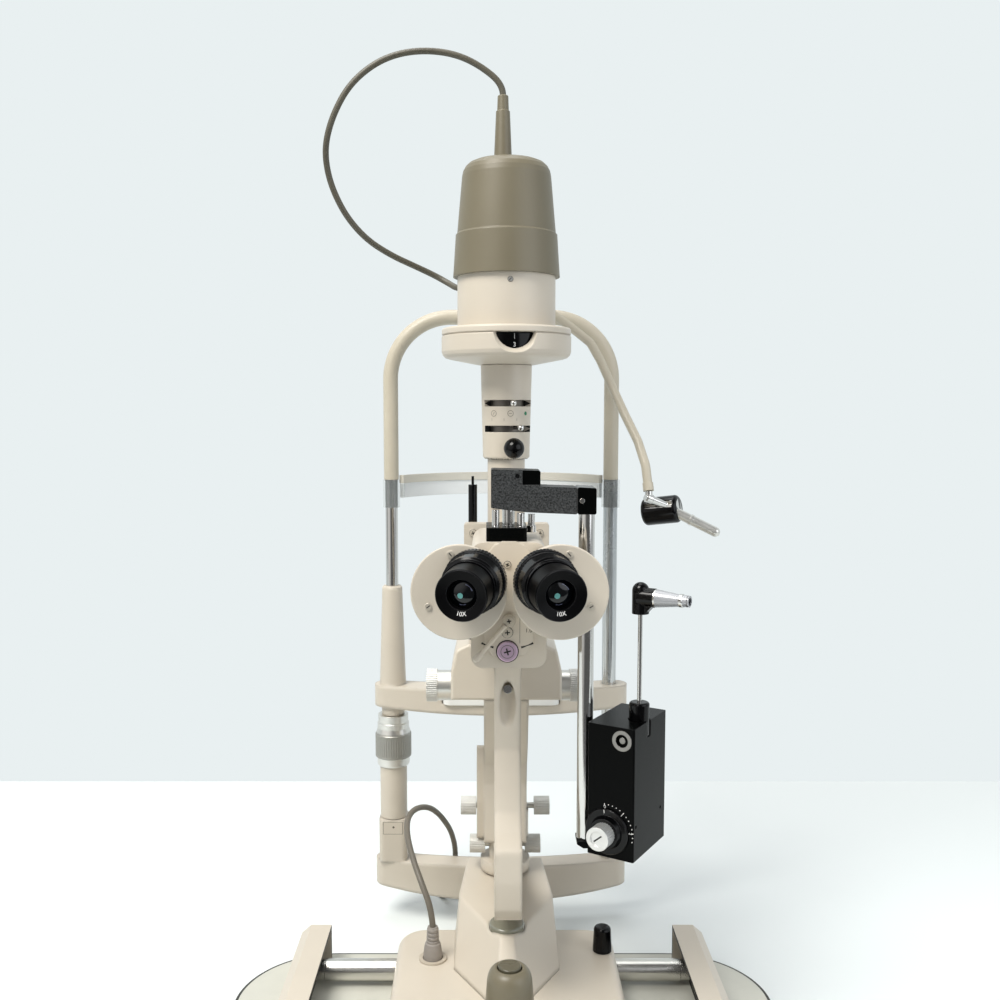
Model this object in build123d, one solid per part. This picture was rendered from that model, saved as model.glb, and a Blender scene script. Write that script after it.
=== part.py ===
from build123d import *
import math
import os

os.makedirs("parts", exist_ok=True)

# A slit lamp: a biomicroscope and a lamp tower that swing about one upright axis, on a base
# that rolls over a table plate, with a chin and forehead rest behind it.
# Millimetres. +X is the examiner's right, +Y points from the examiner to the patient, +Z is up.
# Heights are given from the plate's underside, and Y from the swing axis of both arms. X is given
# from the plate's middle for the plate, rails, axle and head rest, and from the swing axis for
# the rest, which stands a little to the right. The finished piece is moved so that its origin
# is the plate's centre.

# Clearances
RUN = 0.05          # radial play of a shaft in its bore
GAP = 0.3           # free space between pieces that move past each other

# Table plate and rails
PLATE_W = 440
PLATE_D = 350
PLATE_T = 15
PLATE_FAR = -20
PLATE_CORNER = 75
PLATE_MID = PLATE_FAR - PLATE_D / 2
SIDE = 3
PLATE_HOLE_X = 190
PLATE_HOLE_Y = 90
PLATE_HOLE_R = 3.3
PLATE_HOLE_DEPTH = 10
EDGING_T = 2.5
RAIL_X = 163
RAIL_W = 26
RAIL_LEN = 200
RAIL_FAR = -30
RAIL_H = 31
RAIL_WALL = 3

# Rolling axle
AXLE_R = 9
AXLE_Y = -70
AXLE_Z = 27
HUB_R = 8.5
HUB_W = 5

# Base with its hump
BASE_W = 184
BASE_FAR = -30
BASE_D = 250
BASE_Z = 16.5
BASE_TOP = 44
BASE_CORNER = 24
HUMP_TOP = 84
HUMP_FAR = 26
HUMP_HALF = 40
HUMP_TIP = -125
COLUMN_R = 17
SOCKET_X = -61
SOCKET_Y = -84
SOCKET_R = 8
LOCK_X = 81
LOCK_R = 8
LOCK_H = 21
STICK_Y = -222
STICK_R = 15
STICK_TOP = 113
STICK_BALL_R = 12
BUTTON_R = 8

# Swinging arms
MIC_HUB_Z = 86
HUB_OUTER = 26
HUB_H = 30
ARM_W = 20.4
ILL_ARM_W = 37.5
CLAMP_R = 8.2
CLAMP_L = 13.8
HOUSE_W = 92
HOUSE_Z = 258
HOUSE_TOP = 305
HOUSE_D = 62
SLIT_KNOB_R = 13.8
SLIT_KNOB_Z = 264

# Lamp tower
TOWER_Y = -40
STEM_R = 15.6
YOKE_Z = 386
YOKE_H = 19
YOKE_T = 6
NECK_Z = 457.5
NECK_R = 19.5
NECK_TOP_R = 21.3
NECK_TOP = 535
NECK_BORE = 14.5
SLOT_H = 5.2
SLOT_LOW_Z = 482.5
SLOT_HIGH_Z = 503.5
BALL_Z = 467
BALL_R = 8.4
DISC_R = 53.7
DISC_H = 30
LAMP_R = 40.5
LAMP_H = 72
CAP_Z = 607
CAP_TOP = 701
CAP_R = 44
CAP_SEAM_Z = 641
CAP_TOP_R = 36.5
CAP_WALL = 2.5
RELIEF_R = 7.4
RELIEF_H = 52
CABLE_R = 2.6

# Microscope
MIC_FRONT = -170
MIC_REAR = -76
MIC_W = 55
MIC_Z = 311
MIC_TOP = 403
DISC_X = 35.2
DISC_Z = 372.8
DRUM_R = 33.5
DRUM_BACK_R = 29.5
DRUM_T = 32
EYE_TILT_OUT = 12.5
EYE_TILT_DOWN = 5
EYE_R = 17.5
KNURL_R = 21.8
EYE_X = 22.3
EYE_Z = 383
OBJ_R = 24

# Tonometer
MOUNT_Y = -145
MOUNT_Z = 422
TON_ROD_X = 57.7
TON_ROD_Y = -150
TON_ROD_R = 6
TON_ROD_Z = 176
TON_BOX_W = 37.1
TON_BOX_D = 59.5
TON_BOX_Z = 170.5
TON_BOX_H = 98.9
TON_TURN = -31.4
FEELER_R = 1.7
FEELER_TOP = 355
PRISM_L = 25

# Head rest
REST_Y = 80
POST_X = 104.6
BAR_Z = 26.5
BAR_H = 34.5
BAR_T = 22
BAR_BOW = 14
BLOCK_TOP = 102
TUBE_R = 13
TUBE_TOP = 160
SLEEVE_R = 17.4
SLEEVE_TOP = 204
CHIN_Z = 212
CHIN_H = 22
CHIN_T = 26
CHIN_RISE = 50
TAPER_R = 12.7
TAPER_TOP_R = 9.6
TAPER_H = 96
POST_R = 6.7
POST_SLIM_R = 5.9
FRAME_R = 7
FRAME_Z = 432
FRAME_TOP = 592
FRAME_BEND = 58
BAND_Z = 414.5
BAND_H = 21.5
BAND_T = 3
BAND_BOW = 55


# Helpers

def rod(radius, start, end):
    """A round bar from one point to another."""
    a = Vector(*start)
    b = Vector(*end)
    run = b - a
    place = Plane(origin=a, z_dir=run)
    return place * Cylinder(radius, run.length, align=(Align.CENTER, Align.CENTER, Align.MIN))


def upright(radius, x, y, z, height):
    """A round bar that stands on height z."""
    bar = Cylinder(radius, height, align=(Align.CENTER, Align.CENTER, Align.MIN))
    return Pos(x, y, z) * bar


def pipe(outer, inner, x, y, z, height):
    """A round tube that stands on height z."""
    return upright(outer, x, y, z, height) - upright(inner, x, y, z - 1, height + 2)


def turned(points, x, y, z=0):
    """A turned piece about an upright axis, from its outline as radius and height."""
    outline = Polyline(*[(r, 0, h) for r, h in points], close=True)
    return Pos(x, y, z) * revolve(make_face(outline), Axis.Z)


def slab(width, depth, height, x, y, z, corner):
    """A plate with rounded upright corners that stands on height z."""
    return Pos(x, y, z) * extrude(RectangleRounded(width, depth, corner), height)


def side_cut(points, width, x=0):
    """A piece with one outline seen from the side, as Y and Z, centred on x."""
    outline = make_face(Polyline(*[(0, y, z) for y, z in points], close=True))
    return Pos(x - width / 2, 0, 0) * extrude(outline, width, dir=(1, 0, 0))


def front_cut(points, near, far):
    """A piece with one outline seen from the front, as X and Z, between two depths."""
    outline = make_face(Polyline(*[(x, near, z) for x, z in points], close=True))
    return extrude(outline, far - near, dir=(0, 1, 0))


def fluted(radius, length, flutes, depth):
    """A gripping ring or knob about Z, with shallow flutes round its rim."""
    knob = Cylinder(radius, length, align=(Align.CENTER, Align.CENTER, Align.MIN))
    cutter = Cylinder(depth * 1.6, length + 2, align=(Align.CENTER, Align.CENTER, Align.MIN))
    cuts = PolarLocations(radius + depth * 0.6, flutes)
    return knob - [place * Pos(0, 0, -1) * cutter for place in cuts.locations]


def along_x(piece, x, y, z, sign=1):
    """Turn a piece that was made about Z so that it points along X."""
    return Pos(x, y, z) * Rot(0, 90 * sign, 0) * piece


def along_y(piece, x, y, z):
    """Turn a piece that was made about Z so that it points to the examiner."""
    return Pos(x, y, z) * Rot(90, 0, 0) * piece


def cable(points, radius):
    """A cable of straight runs joined by arcs as large as the runs allow."""
    pts = [Vector(*p) for p in points]
    radii = []
    for a, b, c in zip(pts, pts[1:], pts[2:]):
        turn = math.radians((b - a).get_angle(c - b))
        radii.append(0.45 * min((b - a).length, (c - b).length) / math.tan(turn / 2))
    path = FilletPolyline(*points, radius=radii)
    start = Plane(origin=path @ 0, z_dir=path % 0)
    tube = sweep(start * Circle(radius), path=path)
    solid_volume = math.pi * radius ** 2 * path.length
    print("cable radii", [round(r) for r in radii], "length", round(path.length),
          "volume ratio", round(tube.volume / solid_volume, 4))
    return tube


FIXED = ("table_plate", "rail_covers", "axle", "axle_collars", "headrest_base_bar", "headrest_posts",
         "chin_rest_bar", "chin_cup", "chin_rest_nut", "head_frame", "forehead_band", "fixation_arm",
         "fixation_lamp", "fixation_handle")


def save(name, shape):
    """Put the solids of a piece into its named node."""
    side = 0 if name in FIXED else SIDE
    moved = Pos(side, -PLATE_MID, 0) * shape
    made.setdefault(name, []).extend(moved.solids())


def each(*pieces):
    """Several separate solids that share one named node."""
    return Compound(children=[s for p in pieces for s in p.solids()])


made = {}


# Table plate, edging and rails

def build_plate():
    mid = PLATE_MID
    inner_corner = PLATE_CORNER - EDGING_T
    board = slab(PLATE_W - 2 * EDGING_T, PLATE_D - 2 * EDGING_T, PLATE_T, 0, mid, 0, inner_corner)
    for x in (-PLATE_HOLE_X, PLATE_HOLE_X):
        for y in (mid - PLATE_HOLE_Y, mid + PLATE_HOLE_Y):
            board -= upright(PLATE_HOLE_R, x, y, -1, PLATE_HOLE_DEPTH + 1)
    save("table_plate", board)
    rim = slab(PLATE_W, PLATE_D, PLATE_T - 1, 0, mid, 0.5, PLATE_CORNER)
    rim -= slab(PLATE_W - 2 * EDGING_T, PLATE_D - 2 * EDGING_T, PLATE_T + 2, 0, mid, -1, inner_corner)
    save("table_plate", rim)


def rail_cover(side):
    """A folded cover, open towards the base, closed at its far and near ends."""
    inner = RAIL_X - RAIL_W / 2
    outer = RAIL_X + RAIL_W / 2
    near = RAIL_FAR - RAIL_LEN
    top = PLATE_T + RAIL_H
    outline = [(inner, top), (outer - 8, top), (outer, top - 7), (outer + 3, PLATE_T), (inner, PLATE_T)]
    shell = front_cut([(side * x, z) for x, z in outline], near, RAIL_FAR)
    hollow = [(inner - 1, top - RAIL_WALL), (outer - 9, top - RAIL_WALL), (outer - RAIL_WALL, top - 9),
              (outer - RAIL_WALL + 2, PLATE_T - 1), (inner - 1, PLATE_T - 1)]
    shell -= front_cut([(side * x, z) for x, z in hollow], near + RAIL_WALL, RAIL_FAR - RAIL_WALL)
    return shell


def build_rails():
    for name, side in (("left", -1), ("right", 1)):
        save("rail_covers", rail_cover(side))


# Head rest

def bowed_bar(half, bow, thick, low_z, high_z):
    """A bar between the two posts that bows towards the examiner, with round ends."""
    front = ThreePointArc((-half, REST_Y), (0, REST_Y - bow), (half, REST_Y))
    strip = trace(front, thick)
    ends = [Pos(side * half, REST_Y) * Circle(thick / 2) for side in (-1, 1)]
    plan = strip + ends
    return Pos(0, 0, low_z) * extrude(plan, high_z - low_z)


def build_headrest():
    bar = bowed_bar(BAR_HALF - BAR_T / 2, BAR_BOW, BAR_T, BAR_Z, BAR_Z + BAR_H)
    belly = side_profile_cut(BAR_HALF, BAR_Z - 12, BAR_Z, BAR_Z + 10)
    bar -= belly
    left_block = Pos(-POST_X, REST_Y, BAR_Z + BAR_H - 1) * Box(27, BAR_T + 5, BLOCK_TOP - BAR_Z - BAR_H + 1,
                                                               align=BASE_ALIGN)
    left_block = fillet(left_block.edges().filter_by(Axis.Z), 5)
    bar += left_block
    bar -= upright(POST_SLIM_R + RUN, -POST_X, REST_Y, BLOCK_TOP - 40, 41)
    bar -= upright(POST_R, POST_X, REST_Y, BAR_Z + 10, BAR_H)
    foot_h = BAR_Z - FOOT_Z + 8
    foot = Pos(0, REST_Y - BAR_BOW, FOOT_Z) * Box(FOOT_W, BAR_T - 2, foot_h, align=BASE_ALIGN)
    bar += foot
    arm_len = REST_Y - BAR_BOW - PLATE_FAR
    bar += Pos(0, PLATE_FAR + arm_len / 2, FOOT_Z) * Box(FOOT_W, arm_len, FOOT_T, align=BASE_ALIGN)
    save("headrest_base_bar", bar)
    tube = pipe(TUBE_R, POST_R + RUN, -POST_X, REST_Y, BLOCK_TOP, TUBE_TOP - BLOCK_TOP)
    tube = chamfer(tube.edges().group_by(Axis.Z)[0], 1)
    save("headrest_base_bar", tube)
    left_post = upright(POST_SLIM_R, -POST_X, REST_Y, BLOCK_TOP - 40, FRAME_Z + 25 - BLOCK_TOP + 40)
    right_post = upright(POST_R, POST_X, REST_Y, BAR_Z + 10, FRAME_Z - BAR_Z - 10)
    save("headrest_posts", left_post)
    save("headrest_posts", right_post)


BAR_HALF = 122
FOOT_W = 56
FOOT_Z = 2
FOOT_T = 11
BASE_ALIGN = (Align.CENTER, Align.CENTER, Align.MIN)


def side_profile_cut(half, low_z, mid_z, end_z):
    """The space under a bar whose lower edge is a shallow belly, seen from the front."""
    outline = ThreePointArc((-half, REST_Y - 60, end_z), (0, REST_Y - 60, mid_z), (half, REST_Y - 60, end_z))
    close = Polyline((half, REST_Y - 60, end_z), (half, REST_Y - 60, low_z),
                     (-half, REST_Y - 60, low_z), (-half, REST_Y - 60, end_z))
    return extrude(make_face([outline, close]), 120, dir=(0, 1, 0))


def build_chin_rest():
    """The bar that the chin sits on, with its dip, its tapered sleeve and its screw."""
    top = CHIN_Z + CHIN_H
    bar = bowed_bar(BAR_HALF - CHIN_T / 2, BAR_BOW, CHIN_T, CHIN_Z - 6, top)
    bar -= side_profile_cut(BAR_HALF + 2, CHIN_Z - 20, CHIN_Z - 2.5, CHIN_Z + 2)
    bar -= Pos(0, REST_Y - BAR_BOW, top - DIP_H) * Box(DIP_W, CHIN_T * 2, DIP_H * 2, align=BASE_ALIGN)
    bar -= upright(POST_SLIM_R + CHIN_PLAY, -POST_X, REST_Y, CHIN_Z - 30, 80)
    bar -= upright(POST_R + CHIN_PLAY, POST_X, REST_Y, CHIN_Z - 30, 80)
    save("chin_rest_bar", bar)
    r = POST_SLIM_R + CHIN_PLAY
    sleeve = turned([(r, 0), (TAPER_R, 0), (TAPER_TOP_R, TAPER_H - 1.5), (TAPER_TOP_R - 1.5, TAPER_H),
                     (r, TAPER_H)], -POST_X, REST_Y, top)
    save("chin_rest_bar", sleeve)
    neck = pipe(11, r, -POST_X, REST_Y, SLEEVE_TOP + GAP, CHIN_Z + 6 - SLEEVE_TOP - GAP)
    save("chin_rest_bar", neck - bar)
    pad_z = top - DIP_H
    pad = Pos(0, REST_Y - BAR_BOW, pad_z) * Box(DIP_W - 2, CHIN_T + 4, PAD_H, align=BASE_ALIGN)
    pad = fillet(pad.edges().filter_by(Axis.Z), 8)
    hollow = Pos(0, REST_Y - BAR_BOW + 6, pad_z + PAD_H + 24) * Rot(0, 90, 0) * Cylinder(34, DIP_W - 20)
    pad -= Pos(0, 0, 3) * hollow
    save("chin_cup", pad)


CHIN_PLAY = 0.08
DIP_W = 112
DIP_H = 14
PAD_H = 15


def build_chin_screw():
    """The knurled nut on the left column that lifts the chin rest."""
    r = TUBE_R + RUN
    low = TUBE_TOP - 6
    bore_top = TUBE_TOP + GAP
    nut = turned([(r, low), (14.6, low), (15.6, low + 1.5), (15.8, low + 8), (SLEEVE_R - 0.4, low + 8.6),
                  (SLEEVE_R, low + 9.4), (SLEEVE_R, low + 31), (SLEEVE_R - 0.6, low + 31.8), (15.3, low + 37),
                  (15.3, low + 42), (14.5, low + 42.6), (14.5, SLEEVE_TOP), (POST_SLIM_R + RUN, SLEEVE_TOP),
                  (POST_SLIM_R + RUN, bore_top), (r, bore_top)], -POST_X, REST_Y)
    cutter = upright(0.55, 0, 0, low + 11, 19)
    places = PolarLocations(SLEEVE_R + 0.2, 44).locations
    nut -= [Pos(-POST_X, REST_Y, 0) * p * cutter for p in places]
    save("chin_rest_nut", nut)


def build_frame():
    """The bowed tube over the head, on its two posts."""
    top = FRAME_TOP - FRAME_R
    path = FilletPolyline((-POST_X, REST_Y, FRAME_Z), (-POST_X, REST_Y, top), (POST_X, REST_Y, top),
                          (POST_X, REST_Y, FRAME_Z), radius=FRAME_BEND)
    hoop = sweep(Plane(origin=path @ 0, z_dir=path % 0) * Circle(FRAME_R), path=path)
    hoop -= upright(POST_SLIM_R, -POST_X, REST_Y, FRAME_Z - 1, 26)
    save("head_frame", hoop)
    band_line = ThreePointArc((-BAND_X, REST_Y), (0, REST_Y + BAND_BOW), (BAND_X, REST_Y))
    pad = Pos(0, 0, BAND_Z) * extrude(trace(band_line, BAND_T), BAND_H - BAND_EDGE)
    edge = Pos(0, 0, BAND_Z + BAND_H - BAND_EDGE) * extrude(trace(band_line, BAND_T + 1.6), BAND_EDGE)
    save("forehead_band", pad)
    save("forehead_band", edge)
    left = clip(-1)
    right = clip(1)
    save("headrest_posts", each(left, right))


BAND_X = 95
BAND_EDGE = 7.5
CLIP_LOW = 9


def clip(side):
    """The clip that holds one end of the band on its post."""
    post = POST_SLIM_R if side < 0 else POST_R
    height = FRAME_Z - GAP - BAND_Z + CLIP_LOW
    ring = pipe(post + 2.2, post, side * POST_X, REST_Y, BAND_Z - CLIP_LOW, height)
    tongue_h = BAND_H - BAND_EDGE - 2
    tongue = Pos(side * (BAND_X + 1.5), REST_Y, BAND_Z + 1) * Box(9, 6.4, tongue_h, align=BASE_ALIGN)
    body = ring + tongue - upright(post, side * POST_X, REST_Y, BAND_Z - 12, BAND_H + 20)
    band_line = ThreePointArc((-BAND_X, REST_Y), (0, REST_Y + BAND_BOW), (BAND_X, REST_Y))
    body -= Pos(0, 0, BAND_Z) * extrude(trace(band_line, BAND_T), BAND_H)
    return body - Pos(0, 0, BAND_Z + BAND_H - BAND_EDGE) * extrude(trace(band_line, BAND_T + 1.6), BAND_EDGE)


# Fixation lamp on its bent arm

FIX_X = 20
FIX_CLAMP_H = 18
FIX_ARM_R = 4
FIX_END = (129, 1, 427)
FIX_EYE = Vector(129.3, 0.7, 420.5)
FIX_PIN = Vector(0.868, 0.347, -0.353).normalized()
FIX_PIN_R = 3.6
FIX_CENTRE = Vector(143.7, 19, 408.3)
FIX_AIM = Vector(0.88, -0.45, 0.14).normalized()
FIX_BODY_R = 12.5
FIX_BODY_L = 33
HANDLE_START = Vector(150.8, 10.4, 409.2)
HANDLE_DIR = Vector(0.87, -0.2, -0.43).normalized()
HANDLE_R = 4.5
HANDLE_L = 42.5


def build_fixation():
    top = FRAME_TOP - FRAME_R
    clamp = Pos(FIX_X, REST_Y, top) * Box(20, FRAME_R * 2 + 8, FIX_CLAMP_H, align=(Align.CENTER,) * 3)
    clamp = fillet(clamp.edges().filter_by(Axis.X), 3)
    clamp -= rod(FRAME_R, (FIX_X - 20, REST_Y, top), (FIX_X + 20, REST_Y, top))
    save("head_frame", clamp)
    z0 = top + FIX_CLAMP_H / 2 + GAP
    hub = upright(7, FIX_X, REST_Y, z0, 10)
    path = FilletPolyline((FIX_X, REST_Y, z0 + 5), (FIX_X + 13, REST_Y - 17, z0 + 4), (52, 59, 583),
                          (66, 58, 572.5), (82, 56, 559.5), (91, 52, 543), (101, 44, 519), (111, 31, 494),
                          (121.5, 18, 470), (127, 7, 449), FIX_END, radius=(7, 9, 9, 12, 14, 20, 40, 40, 20))
    tube = sweep(Plane(origin=path @ 0, z_dir=path % 0) * Circle(FIX_ARM_R), path=path)
    ex, ey, ez = FIX_END
    sleeve = rod(4.7, (ex - 0.6, ey + 1.9, ez + 7), (ex, ey, ez))
    save("fixation_arm", hub + tube + sleeve)
    eye = rod(4.3, tuple(FIX_EYE - FIX_PIN * 2.6), tuple(FIX_EYE + FIX_PIN * 2.6))
    eye += rod(3.3, (ex, ey, ez), tuple(FIX_EYE))
    eye += rod(3, tuple(FIX_EYE - FIX_PIN * 3.8), tuple(FIX_EYE))
    eye += rod(2, tuple(FIX_EYE), tuple(FIX_EYE + FIX_PIN * 8))
    save("fixation_arm", eye)
    a = FIX_CENTRE - FIX_AIM * FIX_BODY_L / 2
    b = FIX_CENTRE + FIX_AIM * FIX_BODY_L / 2
    barrel = rod(FIX_BODY_R, tuple(a), tuple(b))
    barrel = fillet(barrel.edges(), 3.5)
    full = barrel
    glass_r = FIX_BODY_R - 4.5
    barrel -= rod(glass_r, tuple(a - FIX_AIM * 0.1), tuple(a + FIX_AIM * 1.4))
    save("fixation_lamp", barrel)
    save("fixation_lamp", rod(glass_r, tuple(a + FIX_AIM * 0.4), tuple(a + FIX_AIM * 1.4)))
    collar = Plane(origin=FIX_EYE + FIX_PIN * (2.6 + GAP), z_dir=FIX_PIN)
    pin = collar * Cone(FIX_PIN_R, FIX_PIN_R - 0.8, 17, align=BASE_ALIGN)
    pin -= rod(2 + RUN, tuple(FIX_EYE), tuple(FIX_EYE + FIX_PIN * 8.2))
    save("fixation_lamp", pin - full)
    end = HANDLE_START + HANDLE_DIR * HANDLE_L
    handle = rod(HANDLE_R, tuple(HANDLE_START), tuple(end)) + Pos(*end) * Sphere(HANDLE_R)
    ring = HANDLE_START + HANDLE_DIR * 18
    handle += rod(HANDLE_R + 0.5, tuple(ring), tuple(ring + HANDLE_DIR * 2.5))
    save("fixation_handle", handle - full)


# Axle and its carriage

SPINDLE_R = 5
AXLE_HALF = 149
TRACK_H = 4
TRACK_W = 10
WHEEL_R = AXLE_Z - PLATE_T - TRACK_H - RUN
BASE_TRAVEL = 35


def build_tracks():
    length = RAIL_LEN - 2 * RAIL_WALL - 4
    mid = RAIL_FAR - RAIL_LEN / 2
    tracks = [Pos(side * RAIL_X, mid, PLATE_T) * Box(TRACK_W, length, TRACK_H, align=BASE_ALIGN)
              for side in (-1, 1)]
    save("rail_covers", each(*tracks))


def build_axle():
    bar = rod(AXLE_R, (-AXLE_HALF, AXLE_Y, AXLE_Z), (AXLE_HALF, AXLE_Y, AXLE_Z))
    end = RAIL_X + TRACK_W / 2
    bar += rod(SPINDLE_R, (-end, AXLE_Y, AXLE_Z), (end, AXLE_Y, AXLE_Z))
    save("axle", bar)
    wheels = []
    collars = []
    for side in (-1, 1):
        inner = side * (RAIL_X - TRACK_W / 2)
        outer = side * (RAIL_X + TRACK_W / 2)
        wheel = rod(WHEEL_R, (inner, AXLE_Y, AXLE_Z), (outer, AXLE_Y, AXLE_Z))
        wheel -= rod(SPINDLE_R, (inner - side, AXLE_Y, AXLE_Z), (outer + side, AXLE_Y, AXLE_Z))
        wheels.append(wheel)
        a = side * (AXLE_HALF + GAP)
        b = inner - side * GAP
        collar = rod(HUB_R, (a, AXLE_Y, AXLE_Z), (b, AXLE_Y, AXLE_Z))
        collar -= rod(SPINDLE_R + RUN, (a - side, AXLE_Y, AXLE_Z), (b + side, AXLE_Y, AXLE_Z))
        collars.append(collar)
    save("axle", each(*wheels))
    save("axle_collars", each(*collars))


# Base, hump and joystick

PIVOT_Z = BASE_TOP
BALL_OPENING = 15
STEM_ROD_R = 3
TILT = 12
GRIP_Z = 60
GRIP_R = 19


def hump_outline(z, far, half_far, half, wide_y, shoulder_y, tip_half, tip):
    """One level of the hump, as a loop of eight corners."""
    right = [(half_far, far), (half, wide_y), (half * 0.98, shoulder_y), (tip_half, tip)]
    points = right + [(-x, y) for x, y in reversed(right)]
    return make_face(Polyline(*[(x, y, z) for x, y in points], close=True))


def build_base():
    mid = BASE_FAR - BASE_D / 2
    body = slab(BASE_W, BASE_D, BASE_TOP - BASE_Z, 0, mid, BASE_Z, BASE_CORNER)
    body = fillet(body.edges().group_by(Axis.Z)[-1], 7)
    body -= rod(AXLE_R + RUN, (-BASE_W, AXLE_Y, AXLE_Z), (BASE_W, AXLE_Y, AXLE_Z))
    body -= upright(SOCKET_R + 0.3, SOCKET_X, SOCKET_Y, BASE_TOP - 4, 10)
    body -= upright(LOCK_STEM_R + RUN, LOCK_X, AXLE_Y, AXLE_Z, 30)
    body -= Pos(0, STICK_Y, PIVOT_Z) * Sphere(STICK_BALL_R + RUN)
    body -= upright(GLIDE_R + RUN, 0, STICK_Y, BASE_Z - 1, GLIDE_H + 1)
    body -= upright(COLUMN_R + 4, 0, 0, BASE_Z - 1, BASE_TOP)
    save("base_housing", body)

    low = hump_outline(BASE_TOP, HUMP_FAR, HUMP_HALF, HUMP_HALF + 4, -50, -101, 9, -160)
    high = hump_outline(HUMP_TOP, HUMP_FAR - 2, 34, HUMP_HALF, -48, -56, 6, HUMP_TIP)
    hump = loft([low, high], ruled=True)
    hump = fillet(hump.edges().group_by(Axis.Z)[-1], 2)
    hump -= upright(COLUMN_R + RUN, 0, 0, BASE_TOP - 10, HUMP_TOP)
    hump -= upright(CAP_DISC_R + GAP, 0, CAP_DISC_Y, HUMP_TOP - 3, 10)
    save("hump_cover", hump)
    disc = upright(CAP_DISC_R, 0, CAP_DISC_Y, HUMP_TOP - 3, 6)
    disc = fillet(disc.edges().group_by(Axis.Z)[-1], 1.5)
    save("hump_cap", disc)
    frame = front_cut([(-COLUMN_R - 4, BASE_TOP), (COLUMN_R + 4, BASE_TOP), (COLUMN_R + 4, BASE_TOP - 12),
                       (-COLUMN_R - 4, BASE_TOP - 12)], BASE_FAR, HUMP_FAR - 3)
    frame -= upright(COLUMN_R + RUN, 0, 0, 0, HUMP_TOP)
    save("base_housing", frame)
    foot = upright(GLIDE_R, 0, STICK_Y, PLATE_T + 0.1, GLIDE_H + BASE_Z - PLATE_T - 0.1)
    save("base_housing", foot)

    stem = upright(LOCK_STEM_R, LOCK_X, AXLE_Y, AXLE_Z + AXLE_R + 0.1, BASE_TOP - AXLE_Z - AXLE_R + 3)
    cap = Pos(LOCK_X, AXLE_Y, BASE_TOP + GAP) * Cone(LOCK_R, LOCK_R - 0.9, LOCK_H, align=BASE_ALIGN)
    cap = fillet(cap.edges().group_by(Axis.Z)[-1], 3)
    cutters = [Pos(LOCK_X, AXLE_Y, 0) * p * upright(0.9, 0, 0, BASE_TOP + 3, LOCK_H - 8)
               for p in PolarLocations(LOCK_R + 0.3, 12).locations]
    save("lock_knob", cap - cutters + stem)


LOCK_STEM_R = 3
GLIDE_R = 12
GLIDE_H = 3
CAP_DISC_R = 14.2
CAP_DISC_Y = -106


def build_joystick():
    ball = Pos(0, STICK_Y, PIVOT_Z) * Sphere(STICK_BALL_R)
    slot_half = STEM_ROD_R + STICK_BALL_R * math.tan(math.radians(TILT)) + 1
    slot = Pos(0, STICK_Y, PIVOT_Z - 4) * Box(slot_half * 2, 2 * (STEM_ROD_R + RUN), 30, align=BASE_ALIGN)
    save("joystick_ball", ball - slot)
    stem = upright(STEM_ROD_R, 0, STICK_Y, PIVOT_Z - 1, STICK_TOP - 12 - PIVOT_Z)
    save("joystick_stem", stem)
    top = STICK_TOP
    grip = turned([(STEM_ROD_R + RUN, GRIP_Z), (GRIP_R - 1.5, GRIP_Z), (GRIP_R, GRIP_Z + 2),
                   (STICK_R + 1, top - 12), (STICK_R, top - 4), (STICK_R - 3, top - 1),
                   (STICK_R - 5, top), (BUTTON_R + RUN, top), (BUTTON_R + RUN, top - 9),
                   (STEM_ROD_R + RUN, top - 9)], 0, STICK_Y)
    save("joystick_grip", grip)
    button = upright(BUTTON_R, 0, STICK_Y, top - 9 + BUTTON_TRAVEL + GAP, 9 - BUTTON_TRAVEL - GAP + 1.5)
    button = fillet(button.edges().group_by(Axis.Z)[-1], 0.8)
    save("joystick_button", button)


BUTTON_TRAVEL = 2


# Column and the two swinging arms

SPIGOT_R = 10
ILL_HUB_Z = MIC_HUB_Z + HUB_H + GAP


def build_column():
    column = upright(COLUMN_R, 0, 0, BASE_Z + 6, MIC_HUB_Z - GAP - BASE_Z - 6)
    column += upright(SPIGOT_R, 0, 0, MIC_HUB_Z - 1, ILL_HUB_Z + HUB_H + 26 - MIC_HUB_Z)
    save("lift_column", column)


def clamp_pair(name, z, reach):
    """Two clamp screws, one from each side, on one arm's hub."""
    for side in (-1, 1):
        knob = along_x(fluted(CLAMP_R, CLAMP_L, 36, 0.3), side * reach, 0, z, side)
        shank = rod(2.6, (side * (SPIGOT_R + 0.4), 0, z), (side * (reach + 1), 0, z))
        save(name, knob + shank)


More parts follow.
